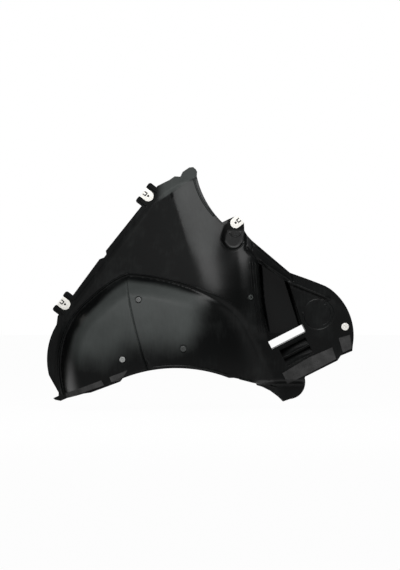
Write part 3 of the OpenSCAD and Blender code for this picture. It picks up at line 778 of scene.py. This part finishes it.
def dark_steel_as_painted_shade(s):
    """Dark steel with a fine brushed scatter, put in the clip nuts as painted shade in their latch slots and
    bores.
    """
    material, tree = blank_material("dark_steel_as_painted_shade")
    coords = node(tree, "ShaderNodeTexCoord").outputs["Object"]
    # Brushing about 0.3 mm apart
    brush = node(tree, "ShaderNodeTexNoise", Vector=coords, Scale=1 / 0.0003, Detail=2.0)
    rough = node(tree, "ShaderNodeMapRange", Value=brush.outputs["Fac"], To_Min=0.35, To_Max=0.55)
    shader = node(
        tree, "ShaderNodeBsdfPrincipled", Base_Color=(*s.shade_insert_steel, 1), Roughness=rough.outputs["Result"],
        Metallic=1.0,
    )
    node(tree, "ShaderNodeOutputMaterial", Surface=shader.outputs[0])
    return material


def needled_felt(s):
    """Needled felt over foam: matt and fibrous, with paler fibres on a grey ground."""
    material, tree = blank_material("needled_felt")
    coords = node(tree, "ShaderNodeTexCoord").outputs["Object"]
    # Fibres 0.03 mm thick lie in tufts about 1.5 mm across, and the tufts are what shows
    tuft = node(tree, "ShaderNodeTexNoise", Vector=coords, Scale=1 / 0.0015, Detail=4.0, Roughness=0.7)
    patch = node(tree, "ShaderNodeTexNoise", Vector=coords, Scale=1 / 0.02, Detail=2.0)
    both = add(tree, tuft.outputs["Fac"], patch.outputs["Fac"])
    level = node(tree, "ShaderNodeMapRange", Value=both.outputs[0], From_Min=0.75, From_Max=1.25)
    colour = node(
        tree, "ShaderNodeMix", {"data_type": "RGBA"},
        in0=level.outputs["Result"], in6=(*s.felt_dark, 1), in7=(*s.felt_pale, 1),
    )
    lift = node(tree, "ShaderNodeBump", Height=tuft.outputs["Fac"], Strength=0.6, Distance=0.0004)
    shader = node(
        tree, "ShaderNodeBsdfPrincipled", Base_Color=colour.outputs[2], Roughness=0.95,
        IOR=1.45, Normal=lift.outputs["Normal"],
    )
    node(tree, "ShaderNodeOutputMaterial", Surface=shader.outputs[0])
    return material


def studio_paper(name, white):
    """Matt studio paper: white to the camera and in reflections, and it keeps a share of the shadow that
    falls on it."""
    material, tree = blank_material(name)
    rays = node(tree, "ShaderNodeLightPath")
    seen = node(
        tree, "ShaderNodeMath", {"operation": "MAXIMUM"},
        in0=rays.outputs["Is Camera Ray"], in1=rays.outputs["Is Transmission Ray"],
    )
    mirrored = node(
        tree, "ShaderNodeMath", {"operation": "MAXIMUM"},
        in0=seen.outputs[0], in1=rays.outputs["Is Glossy Ray"],
    )
    share = node(tree, "ShaderNodeMath", {"operation": "MULTIPLY"}, in0=mirrored.outputs[0], in1=white)
    paper = node(tree, "ShaderNodeBsdfDiffuse", Color=(0.6, 0.6, 0.6, 1))
    glow = node(tree, "ShaderNodeEmission", Color=(1, 1, 1, 1), Strength=1.0)
    shader = node(
        tree, "ShaderNodeMixShader", in0=share.outputs[0], in1=paper.outputs[0], in2=glow.outputs[0],
    )
    node(tree, "ShaderNodeOutputMaterial", Surface=shader.outputs[0])
    return material


def shell_tone(x, z):
    """How pale and matt the plastic is: 1 where light is painted in, on the top flange, the crest band and
    the drain's rim, and on the dome, where it is dust and painted light; below 0 in the duct, where the
    colour is held at its darkest as painted shade and the sheen is tightened."""
    over = over_top_line(x, z)
    # Painted light: the top flange, which leans back towards the light above, is painted paler
    top = smooth(over / 2) * smooth((x - 17) / 26)
    # Painted highlight: a paler band down the crest, where the sheen falls
    painted_crest_highlight = smooth((x - crease_x(z)) / 12) * smooth((190 - x) / 40)
    painted_crest_highlight = painted_crest_highlight * smooth((z + 190) / 90) * (1 - smooth(over / 2))
    # Painted highlight: a pale ring round the drain's rim
    rim = smooth((6.5 - np.hypot(x - DRAIN[0], z - DRAIN[1])) / 0.8)
    # Painted shade: in the duct's recess the colour is held at its darkest, and the sheen is tightened
    recess_shade_and_polish = smooth((x - block_side(z) - 3) / 3)
    recess_shade_and_polish = recess_shade_and_polish * smooth((DUCT_RIGHT[0] + 0.32 * (DUCT_RIGHT[1] - z) - x) / 3)
    recess_shade_and_polish = recess_shade_and_polish * smooth((z + 372) / 6) * smooth((DUCT_LEFT[1] - z - 0.6 * (x - DUCT_LEFT[0])) / 3)
    # Dust and painted light: the dome is paler inside its outline, towards the upper left, fading towards the
    # right and the bottom
    clear = 8 + 9 * smooth((-x - 40) / 130)
    inside = smooth((dome_in(x, z) - clear) / 16)
    right = 1 - smooth((x - 104 - 0.2 * (z + 250)) / 64)
    low = smooth((z + 415 + 35 * smooth((-x - 40) / 80)) / 95)
    return np.clip(0.9 * top + 0.3 * painted_crest_highlight + rim + 0.9 * inside * right * low, 0, 1) - 0.5 * recess_shade_and_polish


def set_tone(obj):
    """Keeps the shell's painted light and dust level as an attribute of its vertices."""
    mesh = obj.data
    co = np.empty(len(mesh.vertices) * 3)
    mesh.vertices.foreach_get("co", co)
    p = co.reshape(-1, 3) / MM
    tone = mesh.attributes.new("tone", "FLOAT", "POINT")
    tone.data.foreach_set("value", shell_tone(p[:, 0], p[:, 2]).astype(np.float32))


def skin(s):
    """The moulding's skin: the face and its back on one grid whose columns lean with the seam, cut to the
    outline with its forks."""
    step = s.grid_step

    def lean(u, v):
        """The columns near the seam bow with it, and the rest stand upright."""
        return u + (seam_x(v) - SEAM_COLUMN) * bump((u - SEAM_COLUMN) / 110) * smooth((-v - 150) / 60)

    def raised(x, z, u):
        """The seam: right of it the dome stands higher and falls back, and a groove runs beside it."""
        inside = smooth((dome_in(x, z) - 2) / 8)
        past = np.maximum(u - SEAM_COLUMN, 0)
        lift = s.seam_step * np.where(u > SEAM_COLUMN + 0.1, np.exp(-past / 45), 0)
        low = smooth((-z - 330) / 100)
        pit = smooth((-z - 402) / 14)
        groove = (3 + 2 * low) * bump((u - SEAM_COLUMN + 1.2 - 2.6 * pit) / (1.9 + 1.2 * low + 1.4 * pit))
        return inside * (lift - groove)

    u = np.concatenate([
        steps(-262, -173, step / 2), steps(-170.5, SEAM_COLUMN - 6, step),
        steps(SEAM_COLUMN - 5.3, SEAM_COLUMN, 0.75),
        steps(SEAM_COLUMN + 0.6, SEAM_COLUMN + 5, 0.9), steps(SEAM_COLUMN + 7, 512, step),
    ])
    v = steps(FOOT_Z - 3, TOWER_HEIGHT + 2, step)
    body = slab(
        "liner_shell_moulding", u, v,
        lambda x, z, c: depth(x, z, s) + raised(x, z, c),
        lambda x, z, c: np.minimum(back_depth(x, z, s), depth(x, z, s) + raised(x, z, c) - 0.6 * s.wall),
        lean,
    )
    blank = prism("blank", liner_outline())
    for at in ((0, 0), CLIP_LOWER):
        for side in (-1, 1):
            carve(blank, prism("prong", turned(prong_outline(side), FORK_ANGLE, at)), "UNION")
    carve(blank, prism("duct", duct_outline(), -FAR_FRONT - 1, -FAR_BACK + 1))
    louvres = rectangle(louvre_centre(), SLOT_ANGLE, LOUVRE_LENGTH, LOUVRE_COUNT * LOUVRE_PITCH)
    carve(blank, prism("louvres", louvres, -FAR_FRONT - 1, -FAR_BACK + 1))
    return carve(body, blank, "INTERSECT")


def duct(s):
    """The duct: walls from the skin down to a floor that deepens towards the slot."""
    grown = duct_outline(s.wall)
    low, high = grown.min(0) - 3, grown.max(0) + 3
    u, v = steps(low[0], high[0], s.grid_step / 2), steps(low[1], high[1], s.grid_step / 2)
    sunk = s.wall / 4
    outer = slab(
        "duct_outer", u, v,
        lambda x, z, c: depth(x, z, s) - sunk,
        lambda x, z, c: np.minimum(duct_floor(x, z), back_depth(x, z, s) - 1) - s.wall,
    )
    carve(outer, prism("duct_foot", grown), "INTERSECT")
    inner = slab(
        "duct_inner", u, v,
        lambda x, z, c: depth(x, z, s) + 20,
        lambda x, z, c: duct_floor(x, z),
    )
    carve(inner, prism("duct_room", duct_outline()), "INTERSECT")
    return carve(outer, inner)


def louvres(s):
    """The louvres: a frame sunk in the skin and blades whose saw-toothed section runs along the slot."""
    centre = louvre_centre()
    wide, tall = LOUVRE_LENGTH, LOUVRE_COUNT * LOUVRE_PITCH
    grown = rectangle(centre, SLOT_ANGLE, wide + 2 * s.wall, tall + 2 * s.wall)
    low, high = grown.min(0) - 3, grown.max(0) + 3
    u, v = steps(low[0], high[0], s.grid_step), steps(low[1], high[1], s.grid_step)
    surround = slab(
        "louvre_surround", u, v,
        lambda x, z, c: depth(x, z, s) - s.wall / 4,
        lambda x, z, c: depth(x, z, s) - LOUVRE_HEIGHT - 2 * s.wall,
    )
    carve(surround, prism("louvre_foot", grown), "INTERSECT")
    carve(surround, prism("louvre_room", rectangle(centre, SLOT_ANGLE, wide, tall)))
    along, up = unit(SLOT_ANGLE), unit(SLOT_ANGLE + math.pi / 2)
    level = float(depth(np.array(centre[0]), np.array(centre[1]), s))
    for k in range(LOUVRE_COUNT):
        top = tall / 2 - k * LOUVRE_PITCH
        low_edge = top - LOUVRE_PITCH
        section = np.array([
            (LOUVRE_HEIGHT + s.wall, top + 1), (LOUVRE_HEIGHT, top + 1), (LOUVRE_HEIGHT, top - 5),
            (1.2, low_edge + 1.6), (0.3, low_edge + 1.0), (0, low_edge + 0.4), (0.3, low_edge),
            (s.wall, low_edge), (LOUVRE_HEIGHT + s.wall, top - 5),
        ])
        rings = []
        for end in (-wide / 2 - 1, wide / 2 + 1):
            p = centre + end * along + section[:, 1:] * up
            rings.append(np.stack([p[:, 0], section[:, 0] - level, p[:, 1]], 1))
        carve(surround, loft("blade", *rings), "UNION")
    return surround


def seam_path():
    """The lip beside the seam keeps an even distance to its right."""
    z = np.linspace(-221, -416, 50)
    return np.stack([seam_x(z) + 1.8, z], 1)


def ridge_paths():
    """Each ridge on the face: its name, its path, half its width and its height."""
    bead_radius = DOME_RADIUS + 3 - shoulder_draw(np.linspace(198, 106.4, 80))
    bead_x = np.linspace(-53, 207, 60)
    bead_z = DOME_TOP_CENTRE[1] + np.sqrt((DOME_TOP_RADIUS + 3) ** 2 - (bead_x - DOME_TOP_CENTRE[0]) ** 2)

    yield "bead_left", arc(DOME_CENTRE, bead_radius, 198, 106.4, 80), 3.4, 2.6
    yield "bead_top", np.stack([bead_x, bead_z], 1), 2.2, 1.6
    yield "seam_lip", seam_path(), 1.3, 0.9
    for k in (-1, 0, 1):
        z = np.linspace(-165, -345, 40)
        yield f"block_rib_{k + 1}", np.stack([block_side(z) - 9 + k * 6, z], 1), 1.7, 1.3
    yield "block_edge", np.linspace(BLOCK_TOP, (267, -156.5), 16), 2.6, 1.4
    yield "panel_ring", arc(PANEL, PANEL_RADIUS, 150, -190, 90), 3.2, 1.5
    yield "panel_ring_inner", arc(PANEL, PANEL_RADIUS - 8, 62, -70, 40), 2.6, 1.1
    yield "pocket_rim", arc(POCKET_LOW, POCKET_RADIUS, 190, 350, 40), 2.8, 1.6
    yield "ear_ring", arc((EAR[0] - 1, EAR[1] - 20), 14, 190, 350, 24), 2.6, 1.1
    yield "lobe_line", np.linspace((348, -213), (452, -256), 24), 4.6, 1.9
    yield "crest_line", np.linspace((112, -226), (160, -244), 14), 2.4, 1.1
    yield "panel_rib", np.linspace((426, -262), (455, -258), 10), 2.6, 1.0
    yield "chamfer_line", np.linspace((261, -122.3), (341, -189.7), 30), 2.4, 0.9
    yield "tower_line", arc3((113, 46), (136, -14), (164, -51), 40), 3.0, 2.0
    yield "duct_lip", np.linspace((277, -159), (352, -209), 20), 3.6, 1.7
    arch_x = np.linspace(8, 196, 50)
    arch_z = ARCH_TOP - ARCH_RADIUS + np.sqrt((ARCH_RADIUS + 6) ** 2 - (arch_x - ARCH_X) ** 2)
    yield "arch_line", np.stack([arch_x, arch_z], 1), 3.2, 2.2
    yield "foot_line", np.linspace((226, -451), (318, -476), 20), 3.0, 1.6
    yield "flange_line", np.linspace((-2, -25), (-128, -190), 40), 2.0, 1.0
    yield "rim_line", np.linspace((-128, -190), (-186, -262), 24), 2.0, 1.0


def groove_paths():
    """Each groove in the face: its name, its path, half its width and its depth."""
    yield "lobe_groove", np.linspace((353, -189), (361, -214), 12), 2.2, 2.0
    yield "block_crease", np.linspace((256, -111), (259, -138), 12), 2.0, 1.8
    yield "chamfer_crease", np.linspace((239, -127), (268, -156), 16), 1.8, 1.6


def prong_ribs(s):
    """The rib along each prong: a bar with round ends."""
    for at in ((0, 0), CLIP_LOWER):
        for side in (-1, 1):
            y = side * (NOTCH_WIDTH + PRONG_WIDTH) / 2
            ends = [arc((PRONG_LENGTH - 6, y), 1.5, -90, 90, 9), arc((-10, y), 1.5, 90, 270, 9)]
            yield prism("prong_rib", turned(np.concatenate(ends), FORK_ANGLE, at), -s.wall / 2 - 3, 0)


def on_face(obj, at, s):
    """Carries a piece that stands along z to a place on the face, turned square to it."""
    x, z = np.array(at, float)
    gx, gz = slope(x, z, s)
    n = Vector((-gx, -1, -gz)).normalized()
    d = float(depth(x, z, s))
    matrix = n.to_track_quat("Z", "Y").to_matrix().to_4x4()
    matrix.translation = Vector((at[0], -d, at[1])) * MM
    obj.data.transform(matrix)
    return obj


def length(name, description, default, low, high):
    """A length, given here in millimetres and kept by Blender in metres."""
    return bpy.props.FloatProperty(
        name=name, description=description, default=default * MM, min=low * MM, max=high * MM,
        unit="LENGTH", precision=4,
    )


def colour(name, description, default):
    """A colour, given here as sRGB hex."""
    return bpy.props.FloatVectorProperty(
        name=name, description=description, default=linear(default), subtype="COLOR", size=3, min=0, max=1,
    )


class ShapeSettings(bpy.types.PropertyGroup):
    """Sizes of the moulding and its pads."""

    wall: length("Wall", "Wall thickness of the moulding", 2.5, 1.5, 5)
    crest_bow: length("Crest bow", "Bow of the crest over its own line", 6, 0, 12)
    wall_slope: bpy.props.FloatProperty(
        name="Wall slope", description="Slope of the flat left wall", default=0.42, min=0.3, max=0.5,
    )
    dome_depth: length("Dome depth", "Depth of the dome's face at its deepest", 142, 130, 160)
    dome_run: length("Dome run", "Distance over which the dome rises out of the wall", 50, 40, 80)
    valley_depth: length("Valley depth", "Depth of the valley round the dome", 2.5, 0, 8)
    seam_step: length("Seam step", "Step at the seam across the dome", 2.2, 0, 4)
    grid_step: length("Grid step", "Side of a square of the surface grid", 3, 2.4, 20)
    pad: length("Pad", "Thickness of the seal pads", 2.4, 1, 5)


class FinishSettings(bpy.types.PropertyGroup):
    """Colours of the plastics, the steel and the felt."""

    shell_dark: colour("Shell dark", "Black plastic", "#090a0a")
    # The pale plastic is painted light, and on the dome it is dust as well
    shell_dust_and_painted_light: colour("Shell pale", "Blasted or dusty plastic", "#393c3b")
    clip_white: colour("Clip white", "White nylon", "#e9e7e1")
    rivet_grey: colour("Rivet grey", "Grey nylon", "#8c8e8c")
    rivet_black: colour("Rivet black", "Black nylon", "#242625")
    rivet_dark: colour("Rivet dark", "Dark grey nylon", "#363837")
    # The dark steel is painted shade in the clip nuts' latch slots and bores
    shade_insert_steel: colour("Spring steel", "Blued spring steel", "#2b2c2e")
    felt_dark: colour("Felt dark", "Ground of the felt", "#242424")
    felt_pale: colour("Felt pale", "Pale fibres of the felt", "#3a3a3a")


def settings(scene):
    """The sizes in millimetres, and the finishes. Blender keeps a length as a single precision float, so it
    is rounded to a ten-thousandth of a millimetre."""
    group = scene.liner_shape
    sizes = {}
    for name in ShapeSettings.__annotations__:
        value = getattr(group, name)
        is_length = group.bl_rna.properties[name].unit == "LENGTH"
        sizes[name] = round(value / MM, 4) if is_length else value
    return SimpleNamespace(**sizes), scene.liner_finish


class LINER_OT_shell(bpy.types.Operator):
    """Moulds the shell"""

    bl_idname = "liner.shell"
    bl_label = "Shell"

    def execute(self, context):
        s, f = settings(context.scene)
        body = skin(s)
        carve(body, duct(s), "UNION")
        carve(body, louvres(s), "UNION")
        for name, path, half_width, height in ridge_paths():
            carve(body, ridge(name, path, half_width, height, s), "UNION")
        for name, path, half_width, height in groove_paths():
            carve(body, ridge(name, path, half_width, height, s, -1))
        for rib in prong_ribs(s):
            carve(body, rib, "UNION")
        r = DRAIN_DIAMETER / 2
        sleeve = lathe(
            "drain_sleeve",
            [(0, -24), (r + 2, -24), (r + 2, 0), (r + 3.6, 0), (r + 3.4, 2.4), (r + 2, 3), (0, 3)],
        )
        carve(body, on_face(outward(sleeve), DRAIN, s), "UNION")
        bore = lathe("drain_bore", [(0, -30), (r, -30), (r, 12), (0, 12)])
        carve(body, on_face(outward(bore), DRAIN, s))
        land = 2 * SLOT_LAND
        slot = rectangle(SLOT_CENTRE, SLOT_ANGLE, SLOT_LENGTH - land, SLOT_WIDTH - land)
        carve(body, prism("slot", slot))
        for at, angle in (((0, 0), FORK_ANGLE), (CLIP_LOWER, FORK_ANGLE), (EAR, EAR_CLIP_ANGLE)):
            carve(body, prism("notch", turned(notch_outline(0, 36), angle, at), -60, 60))
        carve(body, prism("plug_hole", disc(PLUG_HOLE, PLUG), -60, 60))
        for name, at in RIVETS.items():
            hole = lathe("rivet_hole", [(0, -30), (RIVET_HOLE, -30), (RIVET_HOLE, 30), (0, 30)])
            carve(body, on_face(outward(hole), at, s))
            wide = RIVET_RADIUS + (SEAT_WIDTH_MIDDLE if name == "push_rivet_middle" else SEAT_WIDTH)
            seat = lathe("rivet_seat", [(0, -SEAT_DEPTH), (wide, -SEAT_DEPTH), (wide + 0.6, 6), (0, 6)])
            # The ground under the head stays, so that the rivet keeps its seat
            under = RIVET_RADIUS - 0.4
            floor = lathe("seat_floor", [(0, -3), (under, -3), (under, -0.1), (0, -0.1)])
            carve(body, on_face(outward(carve(seat, floor)), at, s))
        set_tone(body)
        finish_piece(body, moulded_black_polypropylene(f), "liner_plastic", "liner_shell")
        return {"FINISHED"}


def clip_nut(name, s):
    """Clip nut, outward along x: two faces with rounded rims, a core, a barrel and the latch's mark."""
    inside = s.wall / 2 + CLIP_GAP
    outside = inside + CLIP_FACE
    outline = notch_outline(CLIP_LAP, CLIP_LENGTH)
    front, rear = prism(name, outline, -outside, -inside), prism("rear", outline, inside, outside)
    for face in (front, rear):
        outward(face)
        edge = face.modifiers.new("edge", "BEVEL")
        edge.width = 0.5 * MM
        edge.segments = 3
        apply_modifiers(face)
    middle = inside + CLIP_FACE / 2
    carve(front, prism("core", notch_outline(-CLIP_GAP, CLIP_LENGTH - 0.5), -middle, middle), "UNION")
    carve(front, rear, "UNION")
    carve(front, prism("barrel", disc(BARREL_RADIUS, (0, 0), 48), inside, outside + BARREL_LENGTH), "UNION")
    carve(front, prism("bore", disc(CLIP_BORE_RADIUS, (0, 0), 40), -20, outside + BARREL_LENGTH - 1))
    sink = lathe("sink", [(0, -1), (CLIP_BORE_RADIUS, -1), (3.8, 1), (3.8, 2), (0, 2)])
    sink.data.transform(Vector((0, -1, 0)).to_track_quat("Z", "Y").to_matrix().to_4x4())
    sink.data.transform(Matrix.Translation((0, -outside * MM, 0)))
    carve(front, sink)
    carve(front, prism("latch", LATCH, -outside - 1, -middle))
    return front


def clip_shade_inserts(s):
    """Dark steel in a clip nut, outward along x, as painted shade: a plate in the latch's slot and a closed
    sleeve at the bore's end, so that both look dark.
    """
    face = -s.wall / 2 - CLIP_GAP - CLIP_FACE
    shade_insert = prism("shade_insert", LATCH, face + 0.25, face + 0.9)
    bore_shade_sleeve = prism("bore_shade_sleeve", disc(CLIP_BORE_RADIUS - 0.05, (0, 0), 32), face + 1.2, face + 9)
    carve(bore_shade_sleeve, prism("tapping", disc(1.8, (0, 0), 32), face, face + 8.4))
    return carve(shade_insert, bore_shade_sleeve, "UNION")


class LINER_OT_clips(bpy.types.Operator):
    """Makes the white clip nuts and the retainer plug"""

    bl_idname = "liner.clips"
    bl_label = "Clip nuts and plug"

    def execute(self, context):
        s, f = settings(context.scene)
        white = moulded_nylon("moulded_white_nylon", tuple(f.clip_white), 0.35, 0.5)
        steel = dark_steel_as_painted_shade(f)
        places = {
            "clip_nut_upper": ((0, 0), FORK_ANGLE, s.wall / 2),
            "clip_nut_lower": (CLIP_LOWER, FORK_ANGLE, s.wall / 2),
            "clip_nut_front": (EAR, EAR_CLIP_ANGLE, EAR_DEPTH),
        }
        for name, (at, angle, level) in places.items():
            matrix = Matrix.Rotation(-angle, 4, "Y")
            matrix.translation = Vector((at[0], -(level - s.wall / 2), at[1])) * MM
            # Each clip nut gets dark steel inserts as painted shade in its latch slot and bore
            clip, shade_insert = clip_nut(name + "_nylon", s), clip_shade_inserts(s)
            shade_insert.name = name + "_shade_insert"
            clip.data.transform(matrix)
            shade_insert.data.transform(matrix)
            finish_piece(clip, white, "clip_plastic", name)
            finish_piece(shade_insert, steel, None, name)
        # A shank with a pointed tip, a head with a round rim, and a ring groove and a dimple in it
        profile = np.concatenate([
            [(0, -14.7), (PLUG_SHANK - 1.5, -13.7), (PLUG_SHANK, -10.7), (PLUG_SHANK, FIT_GAP)],
            [(PLUG_RADIUS, FIT_GAP)],
            arc((PLUG_RADIUS - 1.6, 1.5), 1.6, 0, 90, 9),
            [(4.2, 3.1), (4.0, 2.3), (3.2, 2.3), (3.0, 3.1), (1.0, 3.1), (0.8, 2.7), (0, 2.7)],
        ])
        plug = lathe("retainer_plug_nylon", profile)
        finish_piece(on_face(outward(plug), PLUG, s), white, "clip_plastic", "retainer_plug")
        return {"FINISHED"}


class LINER_OT_rivets(bpy.types.Operator):
    """Makes the push rivets"""

    bl_idname = "liner.rivets"
    bl_label = "Push rivets"

    def execute(self, context):
        s, f = settings(context.scene)
        grey = moulded_nylon("moulded_grey_nylon", tuple(f.rivet_grey), 0.4, 0.55)
        dark = moulded_nylon("moulded_dark_nylon", tuple(f.rivet_dark), 0.3, 0.4)
        black = moulded_nylon("moulded_black_nylon", tuple(f.rivet_black), 0.4, 0.55)
        # A shank with a pointed tip, and a head with a round rim and the pin's ring in its middle
        profile = np.concatenate([
            [(0, -16), (RIVET_SHANK - 1.2, -15), (RIVET_SHANK, -13), (RIVET_SHANK, FIT_GAP)],
            [(RIVET_RADIUS, FIT_GAP)],
            arc((RIVET_RADIUS - 1.2, 0.9), 1.2, 0, 90, 7),
            [(3.2, 2.1), (2.9, 1.2), (2.4, 1.2), (2.2, 1.7), (0, 1.7)],
        ])
        for name, at in RIVETS.items():
            rivet = lathe(name + "_nylon", profile)
            material = {"push_rivet_left": grey, "push_rivet_middle": dark}.get(name, black)
            finish_piece(on_face(outward(rivet), at, s), material, "rivet_plastic", name)
        return {"FINISHED"}


class LINER_OT_pads(bpy.types.Operator):
    """Lays the felt seal pads on the face"""

    bl_idname = "liner.pads"
    bl_label = "Seal pads"

    def execute(self, context):
        s, f = settings(context.scene)
        felt = needled_felt(f)
        for seed, (name, outline) in enumerate(PADS.items()):
            p = np.array(outline, float)
            u = steps(p[:, 0].min() - 2, p[:, 0].max() + 2, 1.6)
            v = steps(p[:, 1].min() - 2, p[:, 1].max() + 2, 1.6)
            fuzz = np.random.default_rng(seed).uniform(-0.12, 0.12, (len(v), len(u)))
            pad = slab(
                name + "_felt", u, v,
                lambda x, z, c: depth(x, z, s) + FIT_GAP + s.pad + fuzz,
                lambda x, z, c: depth(x, z, s) + FIT_GAP,
            )
            carve(pad, prism("pad_cut", p), "INTERSECT")
            finish_piece(pad, felt, "seal_foam", name, sharp=50)
        return {"FINISHED"}


class LINER_OT_stage(bpy.types.Operator):
    """Sets the floor, the backdrop, the lamps and the camera"""

    bl_idname = "liner.stage"
    bl_label = "Stage"

    def execute(self, context):
        scene = context.scene
        # The backdrop stands far back, so that a camera behind the liner has room in front of it
        side, front, back, top = 9000, -9000, 12000, 7000
        ground = FOOT_Z - 20
        floor = new_mesh(
            "floor",
            [(-side, front, ground), (side, front, ground), (side, back, ground), (-side, back, ground)],
            [[0, 1, 2, 3]],
        )
        floor.data.materials.append(studio_paper("floor_paper", 0.98))
        backdrop = new_mesh(
            "backdrop", [(-side, back, ground), (side, back, ground), (side, back, top), (-side, back, top)],
            [[0, 1, 2, 3]],
        )
        backdrop.data.materials.append(studio_paper("backdrop_paper", 1.0))
        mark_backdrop(floor, backdrop)
        target = Vector((0.1275, -0.06, -0.2225))
        # Each lamp's place and side in metres, and its power in watts
        lamps = {
            "key": ((0.13, -1.36, 1.1), 1.2, 47),
            "fill": ((-1.6, -2.2, 1.05), 1.1, 5.0),
        }
        for name, (at, size, power) in lamps.items():
            light = bpy.data.lights.new(name, "AREA")
            light.shape = "SQUARE"
            light.size = size
            light.energy = power
            lamp = bpy.data.objects.new(name, light)
            lamp.location = at
            lamp.rotation_mode = "QUATERNION"
            lamp.rotation_quaternion = (target - Vector(at)).to_track_quat("-Z", "Y")
            scene.collection.objects.link(lamp)
        world = bpy.data.worlds.new("studio")
        world.use_nodes = True
        sky = world.node_tree.nodes["Background"]
        sky.inputs["Color"].default_value = (1, 1, 1, 1)
        sky.inputs["Strength"].default_value = 0.03
        scene.world = world
        # One pixel of the 570 high picture is nearly 2.5 mm at the object, and the sensor spans the height
        distance, height = 8.0, 570 * 2.47 * MM
        camera = bpy.data.cameras.new("camera")
        camera.sensor_width = 36
        camera.lens = 36 * distance / height
        camera.clip_end = 100
        view = bpy.data.objects.new("camera", camera)
        view.location = (0.129, target.y - distance, -0.2215)
        view.rotation_euler = (math.pi / 2, 0, 0)
        scene.collection.objects.link(view)
        scene.camera = view
        scene.view_settings.view_transform = "Standard"
        return {"FINISHED"}


class LINER_PT_panel(bpy.types.Panel):
    """Lists the pieces and their settings"""

    bl_label = "Wheel Arch Liner"
    bl_idname = "LINER_PT_panel"
    bl_space_type = "VIEW_3D"
    bl_region_type = "UI"
    bl_category = "Liner"

    def draw(self, context):
        """A box for each group of settings, then a button for each group of pieces."""
        for group in (context.scene.liner_shape, context.scene.liner_finish):
            box = self.layout.box()
            for name in group.__annotations__:
                box.prop(group, name)
        for operator in PIECES:
            self.layout.operator(operator.bl_idname)


PIECES = (LINER_OT_shell, LINER_OT_clips, LINER_OT_rivets, LINER_OT_pads, LINER_OT_stage)
CLASSES = (ShapeSettings, FinishSettings, *PIECES, LINER_PT_panel)


def register():
    """Registers the classes and gives each scene its two groups of settings."""
    for cls in CLASSES:
        bpy.utils.register_class(cls)
    bpy.types.Scene.liner_shape = bpy.props.PointerProperty(type=ShapeSettings)
    bpy.types.Scene.liner_finish = bpy.props.PointerProperty(type=FinishSettings)


def unregister():
    """Takes the settings and the classes out again."""
    del bpy.types.Scene.liner_finish
    del bpy.types.Scene.liner_shape
    for cls in reversed(CLASSES):
        bpy.utils.unregister_class(cls)


def main():
    """Makes every piece and the stage."""
    register()
    bpy.ops.liner.shell()
    bpy.ops.liner.clips()
    bpy.ops.liner.rivets()
    bpy.ops.liner.pads()
    bpy.ops.liner.stage()
    visual_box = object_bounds()
    boxes = {"cad": cad_box, "visual": visual_box}
    sizes = {name: [list(map(float, corner)) for corner in box] for name, box in boxes.items()}


if __name__ == "__main__":
    main()
